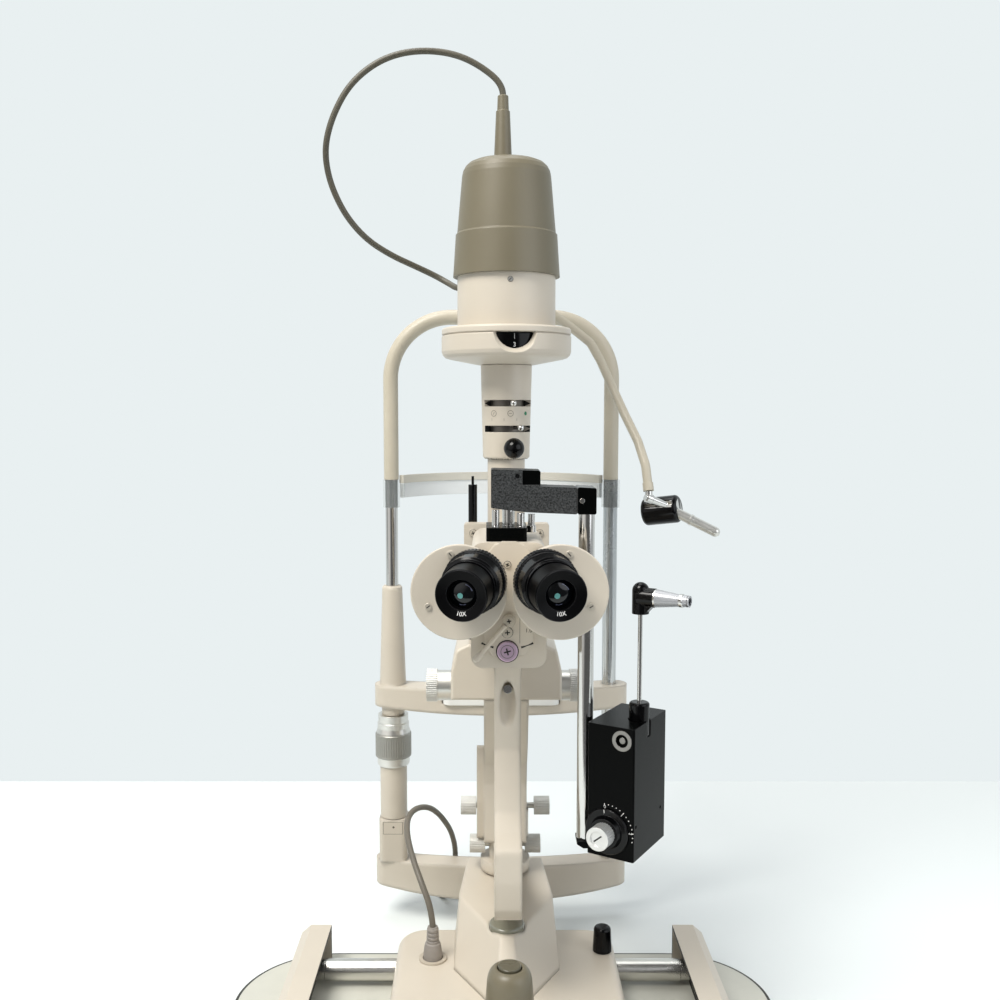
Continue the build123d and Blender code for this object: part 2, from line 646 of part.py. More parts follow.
def build_microscope_arm():
    z = MIC_HUB_Z
    hub = upright(HUB_OUTER - 4, 0, 0, z, 10) + upright(14.5, 0, 0, z, HUB_H)
    outline = [(-10, z), (-60, z + 8), (-110, z + 20), (-158, z + 29), (-167, z + 33), (-172, z + 42),
               (-173.5, z + 64), (-173, z + 88), (-158, z + 96), (-145, z + 107), (-126, z + 150),
               (-134, MIC_Z), (-97, MIC_Z), (-95, z + 160), (-104, z + 108), (-124, z + 72), (-120, z + 56),
               (-100, z + 44), (-60, z + HUB_H), (-10, z + HUB_H)]
    arm = side_cut(outline, ARM_W)
    long_edges = arm.edges().filter_by(Axis.X)
    arm = fillet(long_edges.sort_by(Axis.Y)[:4], 5)
    flare = front_cut([(-17, MIC_Z), (-12.4, MIC_Z - 4), (-10.8, MIC_Z - 9), (-10.2, MIC_Z - 16),
                       (10.2, MIC_Z - 16), (10.8, MIC_Z - 9), (12.4, MIC_Z - 4), (17, MIC_Z)], -131, -100)
    arm += flare
    arm += hub
    arm -= upright(SPIGOT_R + RUN, 0, 0, z - 1, HUB_H + 2)
    arm -= Pos(0, POCKET_Y, POCKET_Z) * Rot(-6, 0, 0) * egg(6.2, 9, 21)
    arm -= rod(CLAMP_SHANK, (-60, 0, z + MIC_CLAMP_H), (60, 0, z + MIC_CLAMP_H))
    arm -= along_y(upright(LATCH_R + RUN, 0, 0, -8, 30), 0, LATCH_Y, LATCH_Z)
    save("microscope_arm", arm)
    clamp_pair("microscope_clamps", z + MIC_CLAMP_H, 18)
    latch = along_y(upright(LATCH_R, 0, 0, -6, 12), 0, LATCH_Y, LATCH_Z)
    save("centring_latch", latch)


MIC_CLAMP_H = 21.7
POCKET_Y = -131
POCKET_Z = 271
CLAMP_SHANK = 2.65
LATCH_R = 3.4
LATCH_Y = -122
LATCH_Z = 284


def egg(x, y, z):
    """An egg-shaped cutter with the given half sizes."""
    return scale(Sphere(1), by=(x, y, z))


def build_illumination_arm():
    z = ILL_HUB_Z
    hub = upright(HUB_OUTER - 5, 0, 0, z, HUB_H - 6)
    outline = [(20, z), (20, 180), (14, 192), (0, 202), (-14, HOUSE_Z), (-66, HOUSE_Z), (-58, HOUSE_Z - 16),
               (-40, 206), (-26, 190), (-20, 170), (-20, z)]
    arm = side_cut(outline, ILL_ARM_W)
    arm = fillet(arm.edges().filter_by(Axis.X).sort_by(Axis.Z)[2:-2], 5)
    fin = side_cut([(9, z), (12, 150), (10, 186), (4, 197), (-4, 197), (-10, 186), (-12, 150), (-9, z)],
                   FIN_T, -(ILL_ARM_W + FIN_T) / 2)
    arm += fin
    arm += hub
    arm -= upright(SPIGOT_R + RUN, 0, 0, z - 1, HUB_H + 28)
    arm -= rod(CLAMP_SHANK, (-60, 0, z + ILL_CLAMP_H), (60, 0, z + ILL_CLAMP_H))
    save("illumination_arm", arm)
    clamp_pair("lamp_clamps", z + ILL_CLAMP_H, 26)


FIN_T = 6.6
ILL_CLAMP_H = 26.7


# Lamp tower

def build_house():
    half = HOUSE_W / 2
    near = TOWER_Y - HOUSE_D / 2 + 4
    far = TOWER_Y + HOUSE_D / 2 + 4
    outline = [(-half, HOUSE_Z), (-half, HOUSE_Z + 24), (-half + 4, HOUSE_Z + 42), (-half + 14, HOUSE_TOP),
               (half - 14, HOUSE_TOP), (half - 4, HOUSE_Z + 42), (half, HOUSE_Z + 24), (half, HOUSE_Z)]
    house = front_cut(outline, near, far)
    house = fillet(house.edges().filter_by(Axis.Y).sort_by(Axis.Z)[2:], 5)
    house = fillet(house.edges().group_by(Axis.Y)[0], 2.5)
    house -= rod(SLIT_SHAFT_R + RUN, (-60, TOWER_Y, SLIT_KNOB_Z), (60, TOWER_Y, SLIT_KNOB_Z))
    house -= upright(PUSH_R + RUN, PUSH_X, PUSH_Y, HOUSE_TOP - 20, 30)
    save("slit_control_house", house)
    shaft = rod(SLIT_SHAFT_R, (-half - 3, TOWER_Y, SLIT_KNOB_Z), (half + 3, TOWER_Y, SLIT_KNOB_Z))
    save("slit_knobs", shaft)
    for side, collar_l in ((-1, 12), (1, 8)):
        a = side * (half + GAP)
        b = a + side * collar_l
        collar = rod(SLIT_KNOB_R - 1, (a, TOWER_Y, SLIT_KNOB_Z), (b, TOWER_Y, SLIT_KNOB_Z))
        grip = along_x(fluted(SLIT_KNOB_R, 9, 48, 0.35), b, TOWER_Y, SLIT_KNOB_Z, side)
        knob = collar + grip
        knob -= rod(SLIT_SHAFT_R, (a - side, TOWER_Y, SLIT_KNOB_Z), (side * (half + 3), TOWER_Y, SLIT_KNOB_Z))
        save("slit_knobs", knob)


SLIT_SHAFT_R = 4
PUSH_R = 3.7
PUSH_X = -28
PUSH_Y = -44
CHEEK_T = 7
CHEEK_X = 14


def build_tower():
    cheeks = []
    for side in (-1, 1):
        height = YOKE_Z - HOUSE_TOP + 4
        cheek = Pos(side * CHEEK_X, TOWER_Y, HOUSE_TOP) * Box(CHEEK_T, 22, height, align=BASE_ALIGN)
        cheeks.append(fillet(cheek.edges().filter_by(Axis.Z), 2.5))
    stem = upright(STEM_R, 0, TOWER_Y, YOKE_Z, NECK_Z - YOKE_Z)
    stem += upright(NECK_BORE - 3, 0, TOWER_Y, NECK_Z - 1, SLOT_HIGH_Z - NECK_Z - 8)
    save("tower_stem", each(*[c - stem for c in cheeks]))
    save("tower_stem", stem)
    mirror = Pos(0, TOWER_Y + 2, MIRROR_Z) * Rot(45, 0, 0) * Box(2 * CHEEK_X - CHEEK_T - 1, 3, 40)
    holder = Pos(0, TOWER_Y - 2, HOUSE_TOP) * Box(2 * CHEEK_X - CHEEK_T, 14, 12, align=BASE_ALIGN)
    save("tower_stem", mirror)
    save("tower_stem", holder)
    front = TOWER_Y - STEM_R - YOKE_T
    yoke = Pos(0, front + (YOKE_T + 6) / 2, YOKE_Z) * Box(70, YOKE_T + 6, YOKE_H, align=BASE_ALIGN)
    yoke = fillet(yoke.edges().filter_by(Axis.Y), 2)
    yoke -= stem
    for x in (-19.6, 19.6):
        yoke -= rod(2.2, (x, front - 1, YOKE_Z + 12), (x, front + 6, YOKE_Z + 12))
    save("tower_stem", yoke)
    screws = []
    for x in (-27.4, 27.4):
        screws.append(rod(2.9, (x, front - 1.2, YOKE_Z + 11), (x, front, YOKE_Z + 11)))
    save("tower_stem", each(*screws))
    push = upright(PUSH_R, PUSH_X, PUSH_Y, HOUSE_TOP - 18, 436 - HOUSE_TOP + 18)
    push += upright(1.1, PUSH_X, PUSH_Y, 435, 8)
    save("push_rod", push)


MIRROR_Z = 352


# Neck with its filter and aperture levers

RING_R = NECK_BORE - 0.2
SLOT_LEFT = 56
SLOT_RIGHT = 72


def slot_cutter(z):
    """A slot round the near half of the neck, for one pin lever."""
    ring = pipe(NECK_TOP_R + 2, NECK_BORE - 1, 0, TOWER_Y, z - SLOT_H / 2, SLOT_H)
    reach = NECK_TOP_R + 10
    left = reach * math.tan(math.radians(SLOT_LEFT))
    right = reach * math.tan(math.radians(SLOT_RIGHT))
    wedge = make_face(Polyline((0, 4), (-left, -reach), (right, -reach), close=True))
    return ring & (Pos(0, TOWER_Y, z - SLOT_H / 2) * extrude(wedge, SLOT_H))


def lever_ring(name, z, angle):
    """A filter ring inside the neck, with its polished pin in the slot."""
    ring = pipe(RING_R, NECK_BORE - 2.9, 0, TOWER_Y, z - 8, 16)
    a = math.radians(angle)
    dx, dy = math.sin(a), -math.cos(a)
    inner = (dx * (RING_R - 1), TOWER_Y + dy * (RING_R - 1), z)
    outer = (dx * (NECK_TOP_R + 4), TOWER_Y + dy * (NECK_TOP_R + 4), z)
    pin = rod(1.4, inner, outer) + Pos(*outer) * Sphere(2.6)
    save(name, ring + pin)


def build_neck():
    height = NECK_TOP - NECK_Z
    neck = turned([(NECK_BORE, 0), (NECK_R - 1.5, 0), (NECK_R, 1.5), (NECK_TOP_R, height),
                   (NECK_BORE, height)], 0, TOWER_Y, NECK_Z)
    neck -= slot_cutter(SLOT_LOW_Z)
    neck -= slot_cutter(SLOT_HIGH_Z)
    neck -= ball_slot()
    save("tower_neck", neck)
    lever_ring("filter_lever_high", SLOT_HIGH_Z, 12.5)
    lever_ring("filter_lever_low", SLOT_LOW_Z + 1, 27)
    ring = pipe(RING_R, NECK_BORE - 2.9, 0, TOWER_Y, BALL_Z - 6, 12)
    pin = rod(1.6, (0, TOWER_Y - RING_R + 1, BALL_Z), (0, TOWER_Y - NECK_R - 8, BALL_Z))
    ball = Pos(0, TOWER_Y - NECK_R - 3 - BALL_R, BALL_Z) * Sphere(BALL_R)
    lever = Pos(0, TOWER_Y, 0) * Rot(0, 0, BALL_ANGLE) * Pos(0, -TOWER_Y, 0) * (pin + ball)
    save("aperture_lever_ring", ring + lever)


BALL_ANGLE = 11
BALL_SWING = 9


def ball_slot():
    """The opening that the ball lever's pin swings in."""
    ring = pipe(NECK_R + 4, NECK_BORE - 1, 0, TOWER_Y, BALL_Z - 2, 4)
    reach = NECK_R + 10
    half = reach * math.tan(math.radians(BALL_SWING + 6))
    wedge = make_face(Polyline((0, 0), (-half, -reach), (half, -reach), close=True))
    turn = Pos(0, TOWER_Y, BALL_Z - 2) * Rot(0, 0, BALL_ANGLE)
    return ring & (turn * extrude(wedge, 4))


# Lamp head: disc with its scale, lamp cylinder, cap and cable

HEAD_TURN = 7
DRUM_SCALE_R = 44


def build_lamp_head():
    z = NECK_TOP + GAP
    disc = turned([(NECK_BORE, 0), (24, 0), (DISC_R - 6, 4.6), (DISC_R - 3, 5.6), (DISC_R - 1, 7.6),
                   (DISC_R, 10.5), (DISC_R, DISC_H - 7), (DISC_R - 1.2, DISC_H - 6.6),
                   (DISC_R - 1.2, DISC_H - 6), (DRUM_SCALE_R + 4, DISC_H - 6),
                   (DRUM_SCALE_R + 4, 7.5), (DRUM_SCALE_R - 12, 7.5), (DRUM_SCALE_R - 12, 7),
                   (NECK_BORE, 7)], 0, TOWER_Y, z)
    turn = Pos(0, TOWER_Y, 0) * Rot(0, 0, HEAD_TURN) * Pos(0, -TOWER_Y, 0)
    window_z = z + DISC_H - 3.5
    window = rod(WINDOW_R, (0, TOWER_Y - DISC_R - 5, window_z), (0, TOWER_Y - 40, window_z))
    lip = Plane(origin=(0, TOWER_Y - DISC_R - 2, window_z), z_dir=(0, 1, 0))
    flare = lip * Cone(WINDOW_R + 6.5, WINDOW_R - 1, 9, align=BASE_ALIGN)
    disc -= turn * (window + flare)
    save("slit_disc", disc)
    drum = pipe(DRUM_SCALE_R + 2.5, DRUM_SCALE_R - 8, 0, TOWER_Y, z + 7.5 + GAP, DISC_H - 14.5)
    save("aperture_scale_drum", drum)
    flange = turned([(NECK_BORE, DISC_H - 6 + GAP / 3), (DISC_R - 0.8, DISC_H - 6 + GAP / 3),
                     (DISC_R - 0.2, DISC_H - 5.2), (DISC_R - 0.2, DISC_H - 1.6), (DISC_R - 1.2, DISC_H - 0.4),
                     (DISC_R - 3, DISC_H), (NECK_BORE, DISC_H)], 0, TOWER_Y, z)
    save("lamp_cylinder", flange)
    low = z + DISC_H
    shell = pipe(LAMP_R, LAMP_R - 3, 0, TOWER_Y, low, LAMP_H)
    shell -= rod(1.8, (2.5, TOWER_Y - LAMP_R - 1, CAP_Z - 6), (2.5, TOWER_Y - LAMP_R + 4, CAP_Z - 6))
    shell -= rod(GLAND_R, gland_point(20), gland_point(60))
    save("lamp_cylinder", shell)
    screw = rod(1.8, (2.5, TOWER_Y - LAMP_R - 0.4, CAP_Z - 6), (2.5, TOWER_Y - LAMP_R + 2.5, CAP_Z - 6))
    save("lamp_cylinder", screw)
    gland = rod(GLAND_R, gland_point(LAMP_R - 4), gland_point(LAMP_R + GLAND_L))
    save("cable_strain_relief", gland)
    bulb_z = low + 22
    socket = upright(11, 0, TOWER_Y, bulb_z, 16)
    plate = pipe(LAMP_R - 3, 11, 0, TOWER_Y, bulb_z + 4, 2.5)
    save("lamp_holder", socket + plate)
    bulb = turned([(0, -14), (3, -13.4), (5, -11), (5, 0), (0, 0)], 0, TOWER_Y, bulb_z)
    save("lamp_holder", bulb)
    lens = upright(NECK_BORE - 1, 0, TOWER_Y, z + 8, 4)
    seat = pipe(NECK_BORE + 3, NECK_BORE - 1, 0, TOWER_Y, z + 7, 5)
    save("lamp_holder", lens)
    save("lamp_holder", seat)
    build_cap(low)


WINDOW_R = 15.3
GLAND_R = 4.5
GLAND_L = 4
GLAND_TURN = 50
GLAND_Z = CAP_Z - 5.5


def gland_point(distance):
    """A point on the gland's axis, at a distance from the tower's axis."""
    a = math.radians(GLAND_TURN)
    return (-distance * math.sin(a), TOWER_Y + distance * math.cos(a), GLAND_Z)


def build_cap(low):
    """The ventilated cap over the lamp, with its seam and the cable's strain relief."""
    top = CAP_TOP - CAP_Z
    seam = CAP_SEAM_Z - CAP_Z
    r = CAP_R
    cap = turned([(LAMP_R + RUN, 0), (r, 0), (r - 2.2, seam), (r - 3.4, seam + 1.2),
                  (CAP_TOP_R, top - 13), (CAP_TOP_R - 0.8, top - 9), (CAP_TOP_R - 2.6, top - 5.6),
                  (CAP_TOP_R - 5.4, top - 2.9), (CAP_TOP_R - 9.5, top - 1.1), (CAP_TOP_R - 16, top - 0.2),
                  (0, top), (0, top - CAP_WALL), (CAP_TOP_R - 11, top - CAP_WALL - 1),
                  (CAP_TOP_R - CAP_WALL - 1, top - 13), (LAMP_R - 4, seam + 12),
                  (LAMP_R - 4, low + LAMP_H - CAP_Z), (LAMP_R + RUN, low + LAMP_H - CAP_Z)],
                 0, TOWER_Y, CAP_Z)
    vents = [Pos(0, TOWER_Y, 0) * Rot(0, 0, a) * Pos(0, -CAP_TOP_R - 2, CAP_TOP - 34) * Box(2, 14, 22)
             for a in range(135, 230, 9)]
    cap -= vents
    save("lamp_cap", cap)
    relief = turned([(0, 0), (RELIEF_R, 0), (RELIEF_R - 0.2, 5), (RELIEF_R - 1.7, 39.4), (RELIEF_R - 2.6, 40),
                     (RELIEF_R - 3, RELIEF_H - 0.6), (RELIEF_R - 3.6, RELIEF_H), (0, RELIEF_H)],
                    RELIEF_X, TOWER_Y, CAP_TOP)
    save("cable_strain_relief", relief)
    top = CAP_TOP + RELIEF_H
    route = [(RELIEF_X, TOWER_Y, top), (RELIEF_X, TOWER_Y, top + 9), (-22, -40, 777), (-42, -40, 786),
             (-66.5, -40, 789), (-90, -40, 786), (-110, -40, 777), (-128.5, -39, 761.5), (-141.5, -37, 740),
             (-149, -34, 718), (-149.5, -29, 700), (-145, -23, 681), (-134.5, -16, 660), (-118.5, -8, 642.5),
             (-98.5, 1, 630.8), (-80, 6, 623), (-62, 9, 615), (-50, 6, 608),
             gland_point(LAMP_R + GLAND_L + 9), gland_point(LAMP_R + GLAND_L)]
    save("lamp_cable", cable(route, CABLE_R))


RELIEF_X = -3


# Microscope

def build_microscope():
    mid = (MIC_FRONT + MIC_REAR) / 2
    depth = MIC_REAR - MIC_FRONT
    half = MIC_W / 2
    outline = Plane.XZ * (Pos(0, (MIC_Z + MIC_TOP) / 2) * RectangleRounded(MIC_W, MIC_TOP - MIC_Z, 9))
    body = Pos(0, MIC_REAR, 0) * extrude(outline, depth)
    body -= along_y(upright(OBJ_R - 1, 0, 0, -10, 26), 0, MIC_REAR, OBJ_Z)
    carrier = Plane.XZ * (Pos(0, DISC_Z) * RectangleRounded(CARRIER_W, CARRIER_H, 12))
    body += Pos(0, MIC_FRONT + CARRIER_T, 0) * extrude(carrier, CARRIER_T)
    for x in (-DISC_X, DISC_X):
        body += rod(BOSS_R, (x, MIC_FRONT + 2, DISC_Z), (x, MIC_FRONT - PANEL_T - GAP - BOSS_DEPTH, DISC_Z))
    save("microscope_body", body)
    bezel = along_y(pipe(OBJ_R - 1, OBJ_R - 5, 0, 0, 0, 14), 0, MIC_REAR - 1, OBJ_Z)
    save("microscope_body", bezel)
    save("microscope_body", along_y(upright(OBJ_R - 5, 0, 0, 3, 4), 0, MIC_REAR - 1, OBJ_Z))
    front = MIC_FRONT
    half_outline = [(12, 10), (17, 18), (19, 34), (14, 62), (17, 74), (15.5, 84), (11, 90), (5, 93)]
    outline = [(-x, MIC_Z + z) for x, z in half_outline] + [(x, MIC_Z + z) for x, z in half_outline[::-1]]
    plate = front_cut(outline, front - PANEL_T, front)
    save("microscope_body", plate)
    face = front - PANEL_T
    screws = [rod(3.8, (PANEL_X, face - 1, SCREW_Z), (PANEL_X, face, SCREW_Z)),
              rod(2.4, (PANEL_X, face - 1, MIC_Z + 76.3), (PANEL_X, face, MIC_Z + 76.3))]
    save("microscope_body", each(*screws))
    hub_screw = rod(7.5, (PANEL_X, face - 2, HUB_SCREW_Z), (PANEL_X, face, HUB_SCREW_Z))
    hub_screw = fillet(hub_screw.edges().group_by(Axis.Y)[0], 0.8)
    save("microscope_body", hub_screw)
    pivot = rod(2.3, (0, face - 3.4, LEVER_Z), (0, face, LEVER_Z))
    pivot += rod(3.2, (0, face - 4.6, LEVER_Z), (0, face - 3.4, LEVER_Z))
    save("microscope_body", pivot)
    lever_eye = along_y(pipe(4.7, 2.3 + RUN, 0, 0, 0.2, 2.9), 0, face, LEVER_Z)
    tip = Vector(-25, 0, -29.6)
    way = tip.normalized()

    def on_lever(distance):
        return (way.X * distance, face - LEVER_OFF, LEVER_Z + way.Z * distance)

    lever = rod(1.7, on_lever(3.7), on_lever(31)) + rod(2.3, on_lever(30.6), on_lever(tip.length - 2.3))
    lever += Pos(*on_lever(tip.length - 2.3)) * Sphere(2.3)
    save("magnification_lever", lever_eye + lever)


PANEL_X = -1.1
SCREW_Z = MIC_Z + 27
HUB_SCREW_Z = MIC_Z + 13.2
LEVER_OFF = 4.2
OBJ_Z = 366
CARRIER_W = 100
CARRIER_H = 36
CARRIER_T = 16
PANEL_T = 3
LEVER_Z = MIC_Z + 36


def eye_place(side):
    """Where one eyepiece starts and which way it points."""
    out = math.radians(EYE_TILT_OUT)
    down = math.radians(EYE_TILT_DOWN)
    aim = Vector(side * math.sin(out), -math.cos(out), -math.sin(down))
    start = Vector(side * EYE_X, EYE_FRONT - EYE_RISE, EYE_Z)
    return Plane(origin=start, x_dir=(1, 0, 0), z_dir=aim)


EYE_FRONT = MIC_FRONT - PANEL_T - GAP - DRUM_T
EYE_RISE = 2.2
BOSS_R = 12
BOSS_DEPTH = 6


def build_eyepieces():
    for name, side in (("left", -1), ("right", 1)):
        x = side * DISC_X
        back = MIC_FRONT - PANEL_T - GAP
        behind = Plane(origin=(x, back, DISC_Z), x_dir=(1, 0, 0), z_dir=(0, -1, 0))
        drum = behind * Cone(DRUM_BACK_R, DRUM_R, DRUM_T, align=BASE_ALIGN)
        drum = fillet(drum.edges().group_by(Axis.Y)[0], 1)
        drum -= rod(BOSS_R + RUN, (x, back - BOSS_DEPTH - GAP, DISC_Z), (x, back + 1, DISC_Z))
        place = eye_place(side)
        tube = place * upright(14, 0, 0, -6 - EYE_RISE, 18 + EYE_RISE)
        screws = []
        for off, up in ((21, -9.8), (5.6, 26.4)):
            sx = x + side * off
            screws.append(rod(2.4, (sx, EYE_FRONT - 1, DISC_Z + up), (sx, EYE_FRONT, DISC_Z + up)))
        drum -= place * upright(14, 0, 0, -6 - EYE_RISE, 40)
        save(f"eyepiece_housing_{name}", drum)
        save(f"eyepiece_housing_{name}", tube - place * upright(9, 0, 0, -2, 30))
        save(f"eyepiece_housing_{name}", each(*screws))
        ring = place * turned([(14 + RUN, 3), (KNURL_R - 1, 3), (KNURL_R - 1, 10.5), (KNURL_R - 1.3, 11),
                               (KNURL_R - 1.6, 22), (KNURL_R - 3.2, 23), (KNURL_R - 3.4, 27),
                               (14 + RUN, 27)], 0, 0)
        grip = place * Pos(0, 0, 4) * (fluted(KNURL_R, 5.5, 54, 0.35) - upright(KNURL_R - 2, 0, 0, -1, 20))
        ring = ring - (place * pipe(KNURL_R + 1, KNURL_R - 2, 0, 0, 4, 5.5)) + grip
        save(f"eyepiece_{name}", ring - place * upright(14 + RUN, 0, 0, 0, 40))
        cup = place * turned([(12, 12.3), (14 - RUN, 12.3), (14 - RUN, 27.3), (EYE_R - 0.5, 27.3),
                              (EYE_R, 28.5), (EYE_R, 46.3), (EYE_R - 0.6, 47.6), (10.2, 45.2), (10.2, 40),
                              (12, 40)], 0, 0)
        save(f"eyepiece_{name}", cup)
        lens = place * upright(12, 0, 0, 36, 3.5)
        save(f"eyepiece_{name}", lens)


# Tonometer on its swinging mount

def build_mount():
    z = MIC_TOP
    top = z + BLOCK_H
    block = Pos(-1.6, MOUNT_Y, z) * Box(29.6, 40, BLOCK_H, align=BASE_ALIGN)
    block = fillet(block.edges().filter_by(Axis.Z), 2)
    save("mount_block", block)
    posts = [upright(2.8, x, MOUNT_Y - 9, top, height) for x, height in ((-9.5, 12.2), (9, 9.8))]
    save("mount_block", each(*posts))
    pin = upright(MOUNT_PIN_R, 0, MOUNT_Y, top, MOUNT_PIN_H)
    save("mount_block", pin)
    pull = upright(2.6, 17, MOUNT_Y - 2, z + 10, 8.5) + upright(3.4, 17, MOUNT_Y - 2, z + 5, 5)
    side = rod(1.8, (13.2, MOUNT_Y - 2, z + 7), (16, MOUNT_Y - 2, z + 7))
    save("mount_block", pull + side)
    low = MOUNT_Z
    near = MOUNT_Y - 12
    far = MOUNT_Y + 12
    outline = [(-12.9, low + 4.5), (-12.9, low + 33), (23.2, low + 32), (23.2, low + 20.5),
               (END_X, low + 19.5), (END_X, low), (14, low + 1.5)]
    arm = front_cut(outline, near, far)
    arm = fillet(arm.edges().filter_by(Axis.Y), 1.3)
    arm -= upright(MOUNT_PIN_R + RUN, 0, MOUNT_Y, low - 1, top + MOUNT_PIN_H - low + 1)
    arm -= rod(1.7, (6.3, near - 1, low + 28), (6.3, near + 3, low + 28))
    arm -= Pos(17.2, near, low + 21.5) * Box(14.4, 2, 20, align=BASE_ALIGN)
    save("tonometer_mount_arm", arm)
    end = front_cut([(END_X, low), (END_X, low + 20), (TON_ROD_X + 6.4, low + 19.3),
                     (TON_ROD_X + 6.4, low)], near - 0.8, far)
    end = fillet(end.edges().filter_by(Axis.Y), 1.4)
    end -= upright(SPIGOT_R, TON_ROD_X, TON_ROD_Y, low - 1, 12)
    end -= rod(1.9, (END_X + 3.3, near - 2, low + 10), (END_X + 3.3, near, low + 10))
    save("tonometer_mount_arm", end)
    save("tonometer_mount_arm", rod(1.9, (END_X + 3.3, near - 1.2, low + 10), (END_X + 3.3, near, low + 10)))
    bar = upright(TON_ROD_R, TON_ROD_X, TON_ROD_Y, TON_ROD_Z, low - TON_ROD_Z)
    bar += upright(SPIGOT_R, TON_ROD_X, TON_ROD_Y, low - 1, 12)
    save("tonometer_rod", bar)


BLOCK_H = 10
MOUNT_PIN_R = 4.6
MOUNT_PIN_H = 30
END_X = 50.3
SPIGOT_R = 4.2


def ton_place(x, y, z):
    """A place in the tonometer box's own directions, from its near left lower corner."""
    return Pos(TON_X, TON_Y, TON_BOX_Z) * Rot(0, 0, TON_TURN) * Pos(x, y, z)


TON_X = TON_ROD_X + 0.7
TON_Y = TON_ROD_Y - 15


def build_tonometer():
    w, d, h = TON_BOX_W, TON_BOX_D, TON_BOX_H
    corner = (Align.MIN, Align.MIN, Align.MIN)
    box = ton_place(0, 0, 0) * Box(w, d, h, align=corner)
    box = fillet(box.edges().filter_by(Axis.Z), 1.2)
    drum_axis = ton_place(DRUM_X, 0, DRUM_Z)
    pocket = drum_axis * Rot(-90, 0, 0) * upright(TON_DRUM_R + GAP, 0, 0, -1, 6)
    box -= pocket
    port = ton_place(w - PORT_IN, 0, h - PORT_IN) * Rot(90, 0, 0)
    box -= port * upright(7.6, 0, 0, -6, 12)
    well = ton_place(STUB_X, STUB_Y, h - 12)
    box -= well * upright(STUB_R + FEELER_PLAY, 0, 0, 0, 20)
    for y in (4.3, 50.3):
        box -= ton_place(w + 1, y, 25.5) * Rot(0, -90, 0) * upright(1.4, 0, 0, 0, 4)
    save("tonometer_case", box)
    x, z = TON_ROD_X, TON_ROD_Z
    foot = front_cut([(x - 6.2, z), (x - 6.2, z - 2.4), (x - 1.4, TON_BOX_Z), (x + 8, TON_BOX_Z), (x + 8, z)],
                     TON_ROD_Y - 8, TON_ROD_Y + 8)
    reach = ton_place(-8, 14, 0) * Box(16, 14, TON_ROD_Z - TON_BOX_Z, align=corner)
    save("tonometer_case", foot + reach - box)
    save("tonometer_rod", port * pipe(7.6, 4.8, 0, 0, -6, 6.6))
    save("tonometer_rod", port * upright(2.3, 0, 0, -6, 5.6))
    profile = [(0, -4.7), (TON_DRUM_R, -4.7), (TON_DRUM_R, 1.4), (TON_DRUM_R - 0.6, 2), (12.6, 2), (11, 6.3),
               (0, 6.3)]
    drum = drum_axis * Rot(90, 0, 0) * turned(profile, 0, 0)
    save("force_drum", drum)
    knob = Pos(0, 0, 6.3) * fluted(8.7, 8.7, 28, 0.4) + upright(8.7, 0, 0, 15, 2.5)
    knob -= upright(5.4, 0, 0, 16.5, 2)
    save("force_drum", drum_axis * Rot(90, 0, 0) * knob)
    stub = well * fillet(upright(STUB_R, 0, 0, 1, 24.4).edges().group_by(Axis.Z)[-1], 2)
    stub -= well * upright(FEELER_R, 0, 0, 10, 30)
    save("prism_holder", stub)
    base = ton_place(STUB_X, STUB_Y, 0)
    feeler = base * upright(FEELER_R, 0, 0, h - 2, FEELER_TOP - TON_BOX_Z - h + 2)
    save("feeler_arm", feeler)
    head_z = FEELER_TOP - TON_BOX_Z - 6
    across = Pos(0, 0, head_z + 12.3) * Rot(0, 90, 0)
    gusset = Polyline((0, head_z), (4.5, head_z), (11.2, head_z + 7.5), (0, head_z + 14), close=True)
    head = upright(6.3, 0, 0, head_z, 17) + Pos(0, 0, head_z + 17) * Sphere(6.3 - 0.01)
    head += across * upright(7.1, 0, 0, -1, 12.4) + extrude(Plane.XZ * make_face(gusset), 4, both=True)
    head -= upright(FEELER_R, 0, 0, head_z - 1, 7)
    head -= across * upright(PRISM_R + RUN, 0, 0, 4, 20)
    save("prism_holder", base * head)
    profile = [(0, 4.3), (PRISM_R, 4.3), (PRISM_R, 11.6), (6.7, 11.6), (6.7, 12.8), (4.5, 30.5), (5, 30.8),
               (5, 33), (4.4, 33.4), (4.2, 38), (3.1, 38.2), (3, 37), (0, 37)]
    save("tonometer_prism", base * across * turned(profile, 0, 0))


DRUM_X = 16.4
DRUM_Z = 19.7
TON_DRUM_R = 17.1
PORT_IN = 9.7
STUB_X = 29.2
STUB_Y = 26.3
STUB_R = 7.6
FEELER_PLAY = 0.8
PRISM_R = 5.6


# Power cable at the base

